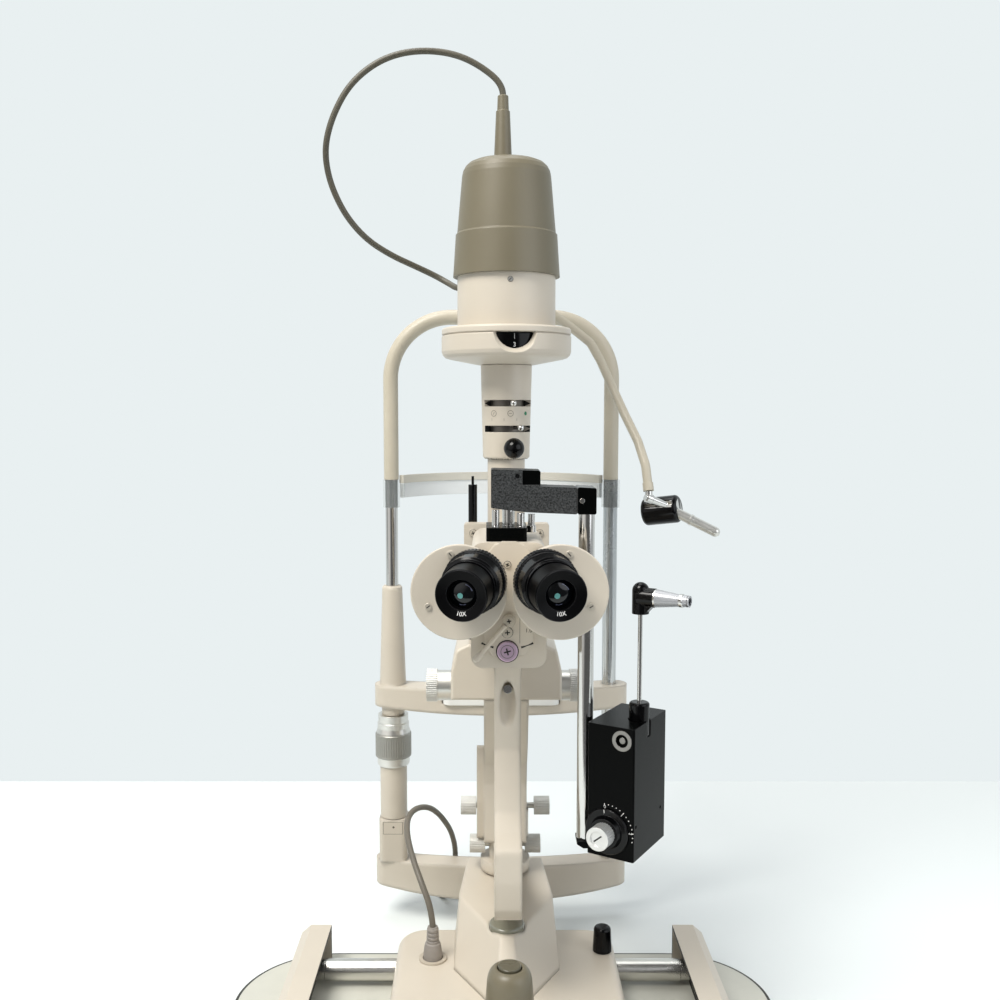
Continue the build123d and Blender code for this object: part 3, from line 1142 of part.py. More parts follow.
def build_power():
    x, y = SOCKET_X, SOCKET_Y
    floor = BASE_TOP - 4
    collar = pipe(11.5, SOCKET_R + 0.3, x, y, BASE_TOP, 1.6)
    save("base_housing", collar)
    outline = [(0, 0), (SOCKET_R - 0.2, 0), (SOCKET_R - 0.2, 9), (7.2, 14), (6.3, 18), (5.3, 18.6)]
    for i in range(4):
        z = 18.6 + i * 3.3
        r = 5.3 - i * 0.15
        outline += [(r, z + 1.7), (r - 0.7, z + 2.1), (r - 0.7, z + 3.1), (r - 0.15, z + 3.3)]
    outline[-3:] = [(4.2, 31.4), (4.2, 32), (0, 32)]
    plug = turned(outline, x, y, floor)
    save("power_plug", plug)
    top = floor + 32
    route = [(x, y, top), (x - 1, y + 1, top + 14), (-72, -71, 106), (-81, -50, 119), (-86.5, -28, 128.5),
             (-87.5, -8, 133.5), (-83.5, 7, 135.5), (-77, 19, 134), (-69.5, 32, 128.3), (-62.8, 46, 117.5),
             (-57, 58, 105), (-51, 73, 88), (-47.5, 88, 64), (-49, 96, 40), (-53, 101, 20),
             (-60, COIL_Y - 37, CABLE_R + 0.1), (COIL_X - COIL_MID, COIL_Y - 14, CABLE_R + 0.1),
             (COIL_X - COIL_MID, COIL_Y + 8, CABLE_R + 0.1)]
    save("power_cable", cable(route, CABLE_R))
    half = COIL_W / 2
    coil = turned([(COIL_MID - half, 0.1), (COIL_MID + half, 0.1), (COIL_MID + half, COIL_H),
                   (COIL_MID - half, COIL_H)], COIL_X, COIL_Y)
    tail = cable([(-36, COIL_Y + 29.7, 10), (-18, COIL_Y + 30, 8.5), (-5, COIL_Y + 28, 6.8),
                  (0, COIL_Y + 20, 6.2), (0, COIL_Y + 10, 6.2)], CABLE_R)
    save("power_cable_coil", coil + tail)
    barrel = rod(6, (0, COIL_Y - 30, 6.2), (0, COIL_Y - 2, 6.2))
    barrel += rod(4.5, (0, COIL_Y - 2, 6.2), (0, COIL_Y + 10, 6.2))
    save("power_plug", barrel)


COIL_Y = 146
COIL_MID = 27.5
COIL_W = 11
COIL_H = 15.7
COIL_X = -42


def main():
    build_plate()
    build_rails()
    build_tracks()
    build_headrest()
    build_chin_rest()
    build_chin_screw()
    build_frame()
    build_fixation()
    build_axle()
    build_base()
    build_joystick()
    build_column()
    build_microscope_arm()
    build_illumination_arm()
    build_house()
    build_tower()
    build_neck()
    build_lamp_head()
    build_microscope()
    build_eyepieces()
    build_mount()
    build_tonometer()
    build_power()
    for name, solids in made.items():
        piece = Compound(children=solids) if len(solids) > 1 else solids[0]
        export_step(piece, f"parts/{name}.step")
    print(len(made), "nodes")


main()
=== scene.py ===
import math

import bmesh
import bpy
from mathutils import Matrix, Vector


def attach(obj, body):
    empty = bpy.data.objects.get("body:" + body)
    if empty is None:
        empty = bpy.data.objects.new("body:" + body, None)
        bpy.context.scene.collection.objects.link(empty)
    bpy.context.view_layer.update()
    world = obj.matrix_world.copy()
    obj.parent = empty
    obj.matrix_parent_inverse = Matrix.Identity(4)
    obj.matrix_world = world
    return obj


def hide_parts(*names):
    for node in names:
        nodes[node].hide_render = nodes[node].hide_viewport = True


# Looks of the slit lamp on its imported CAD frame. Places are written in millimetres from the
# swing axis of the two arms, as in the part's source, and at() takes them to the model's frame.
# The table plate, rails and headrest stand SIDE further left, so a rule of dress() gives
# their X from the plate's middle.
MM = 0.001
PLATE_MID = -195
SIDE = 3
TOWER_Y = -40

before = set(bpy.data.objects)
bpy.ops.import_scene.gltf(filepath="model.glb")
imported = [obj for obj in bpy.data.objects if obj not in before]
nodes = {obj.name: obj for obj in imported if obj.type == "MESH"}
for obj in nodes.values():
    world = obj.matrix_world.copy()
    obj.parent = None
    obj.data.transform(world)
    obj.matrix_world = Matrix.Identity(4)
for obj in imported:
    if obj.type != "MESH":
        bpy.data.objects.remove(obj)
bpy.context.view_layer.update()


def at(x, y, z):
    """A place in the model's frame, in metres."""
    return Vector((x + SIDE, y - PLATE_MID, z)) * MM


# Camera, at the photograph's place

CAMERA_PLACE = (-14, -920, 498)
CAMERA_PITCH = 4.9
FOCAL_PX = 1050
IMAGE_PX = 1000
SENSOR_MM = 36
SIDE_SHIFT = 0.0105

camera_data = bpy.data.cameras.new("camera")
camera_data.sensor_width = SENSOR_MM
camera_data.lens = SENSOR_MM * FOCAL_PX / IMAGE_PX
camera_data.shift_x = SIDE_SHIFT
camera_data.clip_start = 0.01
camera = bpy.data.objects.new("camera", camera_data)
camera.location = at(*CAMERA_PLACE)
camera.rotation_euler = (math.radians(90 - CAMERA_PITCH), 0, 0)
bpy.context.scene.collection.objects.link(camera)
bpy.context.scene.camera = camera


# Materials

COAT_ROUGH = 0.12
BUMP_DEPTH = 0.0004
DUST_SCALE = 160.0
LOWEST_ROUGH = 0.02


def linear(rgb):
    """A colour of 0 to 255 as the shader's own linear colour."""
    out = []
    for value in rgb:
        c = value / 255
        out.append(c / 12.92 if c <= 0.04045 else ((c + 0.055) / 1.055) ** 2.4)
    return (*out, 1.0)


def add(tree, kind, **sockets):
    """One shader node with values set on its named inputs."""
    node = tree.nodes.new(kind)
    for key, value in sockets.items():
        name = key.replace("_", " ")
        if name in node.inputs:
            node.inputs[name].default_value = value
        else:
            setattr(node, key, value)
    return node


def mixed(tree, factor, a, b):
    """A colour between a and b, each a plain colour or a socket."""
    mix = tree.nodes.new("ShaderNodeMix")
    mix.data_type = "RGBA"
    tree.links.new(factor, mix.inputs["Factor"])
    for index, value in ((6, a), (7, b)):
        if isinstance(value, tuple):
            mix.inputs[index].default_value = value
        else:
            tree.links.new(value, mix.inputs[index])
    return mix.outputs[2]


def ranged(tree, value, low, high, to_low, to_high):
    node = add(tree, "ShaderNodeMapRange")
    for name, v in (("From Min", low), ("From Max", high), ("To Min", to_low), ("To Max", to_high)):
        node.inputs[name].default_value = v
    tree.links.new(value, node.inputs["Value"])
    return node.outputs["Result"]


def surface(name, rgb, rough, metal=0.0, coat=0.0, cloud=0.05, cloud_scale=14.0, grain=0.05,
            grain_scale=1800.0, stretch=(1, 1, 1), edge=None, edge_share=0.5, rough_spread=0.06,
            bevel=0.0006, dust=0.0, shine=0.5, cover=1.0):
    """A finish with soft colour variation, a fine bump, varied gloss and lighter edges, partly wear and
    partly a painted highlight.
    """
    mat = bpy.data.materials.new(name)
    mat.use_nodes = True
    tree = mat.node_tree
    bsdf = tree.nodes["Principled BSDF"]
    base = linear(rgb)
    coord = add(tree, "ShaderNodeTexCoord")
    clouds = add(tree, "ShaderNodeTexNoise", Scale=cloud_scale, Detail=4.0, Roughness=0.6)
    tree.links.new(coord.outputs["Object"], clouds.inputs["Vector"])
    dark = tuple(c * (1 - cloud) for c in base[:3]) + (1.0,)
    light = tuple(min(1.0, c * (1 + cloud)) for c in base[:3]) + (1.0,)
    spread = ranged(tree, clouds.outputs["Fac"], 0.35, 0.65, 0, 1)
    color = mixed(tree, spread, dark, light)
    mapping = add(tree, "ShaderNodeMapping", Scale=stretch)
    tree.links.new(coord.outputs["Object"], mapping.inputs["Vector"])
    fine = add(tree, "ShaderNodeTexNoise", Scale=grain_scale, Detail=2.0, Roughness=0.5)
    tree.links.new(mapping.outputs["Vector"], fine.inputs["Vector"])
    rounded = add(tree, "ShaderNodeBevel", samples=4)
    rounded.inputs["Radius"].default_value = bevel
    bump = add(tree, "ShaderNodeBump", Strength=grain, Distance=BUMP_DEPTH)
    tree.links.new(fine.outputs["Fac"], bump.inputs["Height"])
    tree.links.new(rounded.outputs["Normal"], bump.inputs["Normal"])
    tree.links.new(bump.outputs["Normal"], bsdf.inputs["Normal"])
    if dust:
        faint = add(tree, "ShaderNodeTexNoise", Scale=DUST_SCALE, Detail=6.0, Roughness=0.75)
        tree.links.new(coord.outputs["Object"], faint.inputs["Vector"])
        spots = ranged(tree, faint.outputs["Fac"], 0.52, 0.78, 0, dust)
        dusty = tuple(min(1.0, c * 0.8 + 0.12) for c in base[:3]) + (1.0,)
        color = mixed(tree, spots, color, dusty)
    # Sharp edges take the lighter edge colour in patches: partly wear, partly a painted highlight.
    if edge is not None:
        geometry = add(tree, "ShaderNodeNewGeometry")
        turn = add(tree, "ShaderNodeVectorMath", operation="DOT_PRODUCT")
        tree.links.new(rounded.outputs["Normal"], turn.inputs[0])
        tree.links.new(geometry.outputs["Normal"], turn.inputs[1])
        sharp = ranged(tree, turn.outputs["Value"], 0.99, 0.8, 0, edge_share)
        patch = ranged(tree, fine.outputs["Fac"], 0.3, 0.6, 0.4, 1)
        wear_and_highlight = add(tree, "ShaderNodeMath", operation="MULTIPLY")
        tree.links.new(sharp, wear_and_highlight.inputs[0])
        tree.links.new(patch, wear_and_highlight.inputs[1])
        color = mixed(tree, wear_and_highlight.outputs[0], color, linear(edge))
    tree.links.new(color, bsdf.inputs["Base Color"])
    least = max(LOWEST_ROUGH, rough - rough_spread)
    gloss = ranged(tree, clouds.outputs["Fac"], 0.3, 0.7, least, rough + rough_spread)
    tree.links.new(gloss, bsdf.inputs["Roughness"])
    bsdf.inputs["Metallic"].default_value = metal
    bsdf.inputs["Specular IOR Level"].default_value = shine
    bsdf.inputs["Alpha"].default_value = cover
    bsdf.inputs["Coat Weight"].default_value = coat
    bsdf.inputs["Coat Roughness"].default_value = COAT_ROUGH
    return mat


CREAM = surface("cream_paint", (203, 194, 179), 0.40, coat=0.10, cloud=0.02, grain=0.06,
                grain_scale=2400, edge=(220, 213, 200), edge_share=0.5, bevel=0.001)
CREAM_SOFT = surface("cream_cast_paint", (203, 194, 179), 0.40, coat=0.10, cloud=0.02, grain=0.06,
                     grain_scale=2400, edge=(220, 213, 200), edge_share=0.35, bevel=0.005)
CREAM_DARK = surface("cream_shaded_paint", (186, 176, 160), 0.46, cloud=0.03, grain=0.06,
                     edge=(208, 199, 184))
CREAM_LINE = surface("cream_frame_paint", (192, 184, 166), 0.42, coat=0.08, cloud=0.03, grain=0.06,
                     edge=(214, 207, 190), edge_share=0.4)
OLIVE = surface("olive_plastic", (112, 105, 86), 0.40, cloud=0.03, grain=0.10, grain_scale=2600,
                edge=(172, 164, 142), edge_share=0.6, bevel=0.0008)
OLIVE_DARK = surface("olive_button", (86, 82, 66), 0.30, coat=0.2, cloud=0.02, grain=0.05,
                     edge=(132, 126, 106))
CHROME = surface("chromed_steel", (206, 205, 202), 0.10, metal=1.0, cloud=0.04, grain=0.02,
                 grain_scale=500, stretch=(8, 8, 0.4), rough_spread=0.03)
BRUSHED = surface("turned_steel", (208, 206, 200), 0.24, metal=1.0, cloud=0.06, grain=0.20,
                  grain_scale=420, stretch=(10, 1, 1), rough_spread=0.06)
SATIN = surface("satin_aluminium", (214, 213, 208), 0.32, metal=0.9, cloud=0.03, grain=0.15,
                grain_scale=1400, edge=(242, 242, 240), edge_share=0.7)
KNURL = surface("knurled_aluminium", (205, 205, 201), 0.40, metal=0.9, cloud=0.04, grain=0.25,
                grain_scale=1800, edge=(240, 240, 238), edge_share=0.8, bevel=0.0003)
# A darker copy of the knurl, for the chin-rest nut.
NUT_KNURL = surface("darker_knurl", (158, 157, 151), 0.46, metal=0.8, cloud=0.04, grain=0.25,
                    grain_scale=1800, edge=(206, 205, 200), edge_share=0.7, bevel=0.0003)
SILVER = surface("silver_knob", (224, 224, 222), 0.36, metal=0.7, cloud=0.03, grain=0.10,
                 edge=(246, 246, 246), edge_share=0.7)
BLACK = surface("black_gloss_paint", (5, 6, 6), 0.22, cloud=0.12, grain=0.03, edge=(92, 92, 93),
                edge_share=0.6, dust=0.004, shine=0.05)
CRINKLE = surface("black_crinkle_paint", (54, 56, 57), 0.50, cloud=0.85, cloud_scale=820, grain=0.6,
                  grain_scale=900, edge=(84, 85, 86), edge_share=0.35, dust=0.10, shine=0.30)
RUBBER = surface("black_rubber", (5, 5, 6), 0.34, cloud=0.10, grain=0.05, edge=(84, 84, 87),
                 edge_share=0.6, dust=0.004, shine=0.08)
HARD_BLACK = surface("black_plastic", (5, 5, 6), 0.12, cloud=0.10, grain=0.03, edge=(84, 84, 87),
                     edge_share=0.6, dust=0.004, shine=0.22)
SLOT_GREY = surface("dark_steel_ring", (112, 107, 100), 0.34, metal=0.6, cloud=0.10, grain=0.2)
# Near black for walls and faces that lie in shade: painted shade.
SHADE = surface("painted_shade", (24, 23, 22), 0.60, cloud=0.15, grain=0.2)
BAND = surface("milky_band", (226, 229, 229), 0.34, cloud=0.03, grain=0.08, edge=(244, 245, 245),
               edge_share=0.5)
BAND_EDGE = surface("band_edge", (206, 202, 190), 0.38, cloud=0.03, grain=0.08, edge=(226, 223, 212))
SLEEVE = surface("clear_sleeve", (222, 229, 229), 0.12, coat=0.4, cloud=0.03, grain=0.02,
                 edge=(244, 247, 247), edge_share=0.7, cover=0.22)
PAD = surface("white_pad", (230, 230, 226), 0.7, cloud=0.04, grain=0.4, grain_scale=900,
              edge=(244, 244, 242))
LAMINATE = surface("pale_laminate", (200, 200, 190), 0.38, cloud=0.02, cloud_scale=60, grain=0.08,
                   grain_scale=3000, bevel=0.0004)
EDGING = surface("dark_edging", (52, 51, 47), 0.5, cloud=0.08, grain=0.15, edge=(96, 94, 88))
MAUVE = surface("mauve_anodised", (204, 178, 200), 0.30, metal=0.5, cloud=0.05, grain=0.10,
                edge=(222, 208, 220))
NICKEL = surface("nickel_screw", (206, 198, 183), 0.30, metal=0.35, cloud=0.05, grain=0.08,
                 edge=(236, 231, 220), edge_share=0.7, bevel=0.0004)
PLUG = surface("plug_grey", (146, 140, 134), 0.5, cloud=0.05, grain=0.2, edge=(178, 172, 166))
CABLE = surface("cable_jacket", (84, 80, 68), 0.44, cloud=0.10, cloud_scale=30, grain=0.12,
                bevel=0.0002)
CABLE_GREY = surface("power_jacket", (104, 98, 88), 0.46, cloud=0.08, cloud_scale=30, grain=0.12,
                     bevel=0.0002)
MIRROR = surface("mirror_glass", (226, 230, 231), 0.03, metal=1.0, cloud=0.01, grain=0.0,
                 rough_spread=0.01)
LENS = surface("coated_lens", (4, 6, 9), 0.04, coat=0.25, shine=0.3, cloud=0.4, cloud_scale=70,
               grain=0.0, rough_spread=0.02)
# A teal disc and faint arcs on the eye lenses: painted reflections.
PUPIL_GLINT = surface("painted_pupil_glint", (92, 152, 148), 0.30, cloud=0.05, grain=0.0)
GLINT = surface("lens_glint", (96, 100, 122), 0.20, cloud=0.10, grain=0.0)
PRISM = surface("clear_prism", (158, 160, 164), 0.26, metal=0.15, coat=0.4, cloud=0.05, grain=0.03,
                edge=(232, 234, 236), edge_share=0.6)
CAP_DISC = surface("cap_disc", (122, 122, 108), 0.18, coat=0.6, cloud=0.04, grain=0.03,
                   edge=(206, 208, 200))
GLIDE = surface("glide_plastic", (214, 214, 210), 0.4)
TRACK = surface("steel_track", (150, 148, 144), 0.4, metal=1.0, grain=0.3, grain_scale=600,
                stretch=(1, 12, 1))
INK_WHITE = surface("white_ink", (236, 236, 233), 0.5, cloud=0.02, grain=0.02)
INK_DARK = surface("dark_ink", (40, 37, 34), 0.5, cloud=0.05, grain=0.02)
INK_GREY = surface("grey_ink", (140, 134, 122), 0.5, cloud=0.05, grain=0.02)
INK_GREEN = surface("green_ink", (34, 120, 84), 0.4, cloud=0.05, grain=0.02)
POST_TUBE = surface("frosted_tube", (186, 192, 194), 0.30, metal=0.6, cloud=0.05, grain=0.10,
                    stretch=(6, 6, 0.4))
LINE = surface("panel_gap", (98, 92, 82), 0.7, grain=0.0)


# Materials on the CAD nodes. A rule gets a face's middle in millimetres and its direction.

FIXED = ("table_plate", "rail_covers", "axle", "axle_collars", "headrest_base_bar", "headrest_posts",
         "chin_rest_bar", "chin_cup", "chin_rest_nut", "head_frame", "forehead_band", "fixation_arm",
         "fixation_lamp", "fixation_handle")


def dress(name, plain, *rules):
    """Give a node its finish. Each rule is a test of x, y, z and the normal, with a finish."""
    side = 0 if name in FIXED else SIDE
    mesh = nodes[name].data
    mesh.materials.clear()
    mesh.materials.append(plain)
    finishes = [plain]
    for _, finish in rules:
        if finish not in finishes:
            finishes.append(finish)
            mesh.materials.append(finish)
    for face in mesh.polygons:
        x, y, z = face.center / MM
        x -= side
        y += PLATE_MID
        index = 0
        for test, finish in rules:
            if test(x, y, z, face.normal):
                index = finishes.index(finish)
                break
        face.material_index = index


def off_axis(x, y, cx, cy):
    return math.hypot(x - cx, y - cy)


HOUSE_X = 35.2
HOUSE_Z = 372.8
FRONT_Y = -173
HUB_SCREW = (-1.1, 324.2)
OBJECTIVE_Z = 366
YOKE_SCREW_Y = -61.6
YOKE_SCREW_Z = 397
CAP_SCREW = (2.5, 601)
PLUG_PLACE = (-61, -84)
POST_X = 104.6
POST_Y = 80
MOUNT_SCREW = (53.6, 432)
SKIN = 0.05
TON_TURN = math.radians(31.4)
TON_RIGHT = (math.cos(TON_TURN), -math.sin(TON_TURN), 0)
TON_OUT = Vector((-math.sin(TON_TURN), -math.cos(TON_TURN), 0))
CASE_CORNER = Vector((58.4, -165, 170.5))
FEELER_PLACE = Vector((97.02, -157.76, 361.3))


PLAIN_NODES = {
    "axle_collars": BRUSHED, "hump_cover": CREAM_SOFT, "hump_cap": CAP_DISC,
    "lock_knob": HARD_BLACK, "joystick_ball": HARD_BLACK, "joystick_stem": CHROME, "joystick_grip": OLIVE,
    "joystick_button": OLIVE_DARK, "lift_column": CHROME, "centring_latch": CHROME,
    "illumination_arm": CREAM_SOFT, "slit_control_house": CREAM,
    "push_rod": HARD_BLACK, "slit_disc": CREAM,
    "aperture_scale_drum": HARD_BLACK, "lamp_holder": GLIDE, "lamp_cap": OLIVE,
    "feeler_arm": CHROME, "chin_rest_bar": CREAM_SOFT, "chin_cup": PAD, "head_frame": CREAM_LINE,
    "fixation_handle": SATIN, "headrest_base_bar": CREAM_SOFT, "tower_neck": CREAM,
    "magnification_lever": CREAM,
}
for node_name, finish in PLAIN_NODES.items():
    dress(node_name, finish)

dress("table_plate", EDGING, (lambda x, y, z, n: abs(n.z) > 0.9 and (z > 14.8 or z < 0.2), LAMINATE))
# The covers' inward walls and their undersides are near black: painted shade.
dress("rail_covers", CREAM,
      (lambda x, y, z, n: z < 19.5 and abs(x) < 169 and abs(x) > 157 and n.z > 0.5, TRACK),
      (lambda x, y, z, n: n.x * x < 0 and abs(x) > 149.5 and n.z < 0.35, SHADE),
      (lambda x, y, z, n: n.z < -0.3, SHADE))
dress("axle", BRUSHED, (lambda x, y, z, n: abs(x) > 156, TRACK))
dress("base_housing", CREAM_SOFT,
      (lambda x, y, z, n: z < 16.4, GLIDE),
      (lambda x, y, z, n: z > 44.05 and off_axis(x, y, *PLUG_PLACE) < 12, CREAM_DARK))
dress("microscope_arm", CREAM_SOFT)
dress("microscope_body", CREAM,
      (lambda x, y, z, n: y > -96 and off_axis(x, z, 0, OBJECTIVE_Z) < 23.4, RUBBER),
      (lambda x, y, z, n: y < FRONT_Y - SKIN and off_axis(x, z, *HUB_SCREW) < 7.8, MAUVE),
      (lambda x, y, z, n: y < FRONT_Y - SKIN and abs(x) < 5 and 333 < z < 351, NICKEL),
      (lambda x, y, z, n: y < FRONT_Y - SKIN and abs(x) < 4 and 384 < z < 391, NICKEL),
      (lambda x, y, z, n: y < -170.1 and off_axis(abs(x), z, HOUSE_X, HOUSE_Z) < 12.2, SATIN))
dress("mount_block", BLACK,
      (lambda x, y, z, n: z > 413.05 and x < 13, CHROME),
      (lambda x, y, z, n: x > 13.3, CHROME))
dress("tower_stem", CREAM,
      (lambda x, y, z, n: abs(x) < 10.4 and 330 < z < 372 and n.y < 0 and n.z < 0.9, MIRROR),
      (lambda x, y, z, n: abs(x) < 10.4 and z < 385, RUBBER),
      (lambda x, y, z, n: y < -61.61, NICKEL))
# The inside of the neck's notch is near black: painted shade.
dress("tower_neck", CREAM, (lambda x, y, z, n: off_axis(x, y, 0, TOWER_Y) < 18.3 and y < -42, SHADE))
for level in ("high", "low"):
    dress(f"filter_lever_{level}", SLOT_GREY,
          (lambda x, y, z, n: off_axis(x, y, 0, TOWER_Y) > 14.9, CHROME))
dress("lamp_cylinder", CREAM,
      (lambda x, y, z, n: y < -79.5 and off_axis(x, z, *CAP_SCREW) < 2.2, SATIN))
dress("cable_strain_relief", OLIVE, (lambda x, y, z, n: z < 650, HARD_BLACK))
dress("aperture_lever_ring", HARD_BLACK)
dress("slit_knobs", KNURL, (lambda x, y, z, n: abs(x) < 58.9, SATIN))
dress("microscope_clamps", KNURL)
dress("lamp_clamps", KNURL)
dress("chin_rest_nut", SATIN,
      (lambda x, y, z, n: 162.5 < z < 186.5 and off_axis(x, y, -POST_X, POST_Y) > 16.4, NUT_KNURL))
dress("forehead_band", BAND, (lambda x, y, z, n: z > 428.4, BAND_EDGE))
dress("headrest_posts", CHROME,
      (lambda x, y, z, n: 405 < z < 433 and off_axis(abs(x), y, POST_X, POST_Y) > 6.8, SLEEVE),
      (lambda x, y, z, n: x > 90 and 234 < z < 406, POST_TUBE))
dress("tonometer_rod", CHROME, (lambda x, y, z, n: z > 240 and x > 72 and n.dot(TON_OUT) > 0.9, TRACK))
dress("tonometer_case", BLACK)
dress("tonometer_mount_arm", CRINKLE,
      (lambda x, y, z, n: x > 50.4 and off_axis(x, z, *MOUNT_SCREW) < 2.1 and y < -157, CHROME),
      (lambda x, y, z, n: x > 50.25, BLACK),
      (lambda x, y, z, n: y > -157 and n.y < -0.9 and 9 < x < 25, BLACK))
dress("prism_holder", HARD_BLACK)
dress("power_plug", PLUG, (lambda x, y, z, n: y > 100, RUBBER))


def out_of_case(x, y):
    """How far a place stands in front of the tonometer case's near face."""
    return (x - CASE_CORNER.x) * TON_OUT.x + (y - CASE_CORNER.y) * TON_OUT.y


def along_prism(x, y):
    """How far a place lies from the feeler arm towards the prism's tip."""
    return (x - FEELER_PLACE.x) * TON_RIGHT[0] + (y - FEELER_PLACE.y) * TON_RIGHT[1]


dress("force_drum", HARD_BLACK, (lambda x, y, z, n: out_of_case(x, y) > 6.32, SILVER))
dress("tonometer_prism", PRISM,
      (lambda x, y, z, n: 30.4 < along_prism(x, y) < 33.5, CHROME),
      (lambda x, y, z, n: along_prism(x, y) < 12.9, CHROME),
      (lambda x, y, z, n: 36.5 < along_prism(x, y) < 37.2, HARD_BLACK))


FIX_EYE = Vector((129.3, 0.7, 420.5))
FIX_PIN = Vector((0.868, 0.347, -0.353)).normalized()


def on_pin(x, y, z, n):
    """A test for the fixation lamp's chromed pin."""
    away = Vector((x, y, z)) - FIX_EYE
    along = away.dot(FIX_PIN)
    return along > 2 and (away - FIX_PIN * along).length < 3.7


dress("fixation_lamp", HARD_BLACK, (on_pin, CHROME))
dress("fixation_arm", CREAM_LINE, (lambda x, y, z, n: z < 426.5, CHROME))

EYE_START = (22.3, -207.5, 383)
EYE_OUT = math.radians(12.5)
EYE_DOWN = math.radians(5)
CUP_START = 27.5
CUP_R = 17.7


def eye_axes(side):
    """Start, direction, right and up of one eyepiece."""
    aim = Vector((side * math.sin(EYE_OUT), -math.cos(EYE_OUT), -math.sin(EYE_DOWN))).normalized()
    right = (Vector((1, 0, 0)) - aim * aim.x).normalized()
    return Vector((side * EYE_START[0], EYE_START[1], EYE_START[2])), aim, right, -right.cross(aim)


def on_ring(side):
    """A test for the glossy dioptre ring, which lies behind the eye cup."""
    start, aim, _, _ = eye_axes(side)

    def test(x, y, z, n):
        away = Vector((x, y, z)) - start
        height = away.dot(aim)
        return height < CUP_START and (away - aim * height).length > CUP_R
    return test


for side, sign in (("left", -1), ("right", 1)):
    dress(f"eyepiece_housing_{side}", CREAM,
          (lambda x, y, z, n: y < -205.31 and off_axis(abs(x), z, HOUSE_X, HOUSE_Z) > 12, NICKEL))
    dress(f"eyepiece_{side}", RUBBER, (on_ring(sign), HARD_BLACK))


# Small printed and flat marks. A shape is flat points and faces; a place puts a flat point on the object.

def text_shape(words, size):
    curve = bpy.data.curves.new("text", "FONT")
    curve.body = words
    curve.size = size
    curve.align_x = "CENTER"
    curve.align_y = "CENTER"
    holder = bpy.data.objects.new("text", curve)
    mesh = bpy.data.meshes.new_from_object(holder)
    shape = ([(v.co.x, v.co.y) for v in mesh.vertices], [list(p.vertices) for p in mesh.polygons])
    bpy.data.objects.remove(holder)
    bpy.data.meshes.remove(mesh)
    bpy.data.curves.remove(curve)
    return shape


def disc_shape(radius, steps=20, cx=0.0, cy=0.0):
    turn = [i * 2 * math.pi / steps for i in range(steps)]
    return ([(cx + radius * math.cos(a), cy + radius * math.sin(a)) for a in turn], [list(range(steps))])


def ring_shape(inner, outer, steps=32):
    points = []
    for i in range(steps):
        a = i * 2 * math.pi / steps
        points += [(inner * math.cos(a), inner * math.sin(a)), (outer * math.cos(a), outer * math.sin(a))]
    faces = [[2 * i, 2 * i + 1, (2 * i + 3) % (2 * steps), (2 * i + 2) % (2 * steps)] for i in range(steps)]
    return points, faces


def bar_shape(width, height, turn=0.0, cx=0.0, cy=0.0, steps=6):
    """A thin bar, cut into steps along its length so that it can follow a curved face."""
    a = math.radians(turn)
    points = []
    for i in range(steps + 1):
        u = width * (i / steps - 0.5)
        for v in (-height / 2, height / 2):
            points.append((cx + u * math.cos(a) - v * math.sin(a), cy + u * math.sin(a) + v * math.cos(a)))
    return points, [[2 * i, 2 * i + 2, 2 * i + 3, 2 * i + 1] for i in range(steps)]


LIFT = 0.06


def on_plane(origin, right=(1, 0, 0), up=(0, 0, 1), lift=LIFT):
    right, up = Vector(right).normalized(), Vector(up).normalized()
    out = right.cross(up)
    start = Vector(origin) + out * lift
    return lambda u, v: at(*(start + right * u + up * v))


def on_cylinder(cx, cy, radius, degrees, z, lift=LIFT):
    """On an upright round face; the angle is from the examiner's side towards the right."""
    def place(u, v):
        a = math.radians(degrees) + u / radius
        r = radius + lift
        return at(cx + r * math.sin(a), cy - r * math.cos(a), z + v)
    return place


def marks(name, body, finish, items):
    """One piece made of flat marks that ride on one body."""
    points, faces = [], []
    for (shape_points, shape_faces), place in items:
        first = len(points)
        points += [place(u, v) for u, v in shape_points]
        faces += [[first + i for i in f] for f in shape_faces]
    mesh = bpy.data.meshes.new(name)
    mesh.from_pydata(points, [], faces)
    mesh.materials.append(finish)
    obj = bpy.data.objects.new(name, mesh)
    bpy.context.scene.collection.objects.link(obj)
    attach(obj, body)
    return obj


def lathe(name, outline, origin, axis, body, finish, steps=64):
    """A turned piece: outline is radius and distance along the axis, in millimetres."""
    axis = Vector(axis).normalized()
    side = axis.orthogonal().normalized()
    other = axis.cross(side)
    origin = Vector(origin)
    points, faces = [], []
    for r, h in outline:
        for i in range(steps):
            a = i * 2 * math.pi / steps
            points.append(at(*(origin + axis * h + side * (r * math.cos(a)) + other * (r * math.sin(a)))))
    for k in range(len(outline) - 1):
        for i in range(steps):
            j = (i + 1) % steps
            faces.append([k * steps + i, k * steps + j, (k + 1) * steps + j, (k + 1) * steps + i])
    mesh = bpy.data.meshes.new(name)
    mesh.from_pydata(points, [], faces)
    mesh.materials.append(finish)
    mesh.shade_smooth()
    mesh.set_sharp_from_angle(angle=math.radians(35))
    obj = bpy.data.objects.new(name, mesh)
    bpy.context.scene.collection.objects.link(obj)
    bm = bmesh.new()
    bm.from_mesh(mesh)
    bmesh.ops.recalc_face_normals(bm, faces=bm.faces)
    bm.to_mesh(mesh)
    bm.free()
    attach(obj, body)
    return obj


# Tower: scale, neck marks and screws

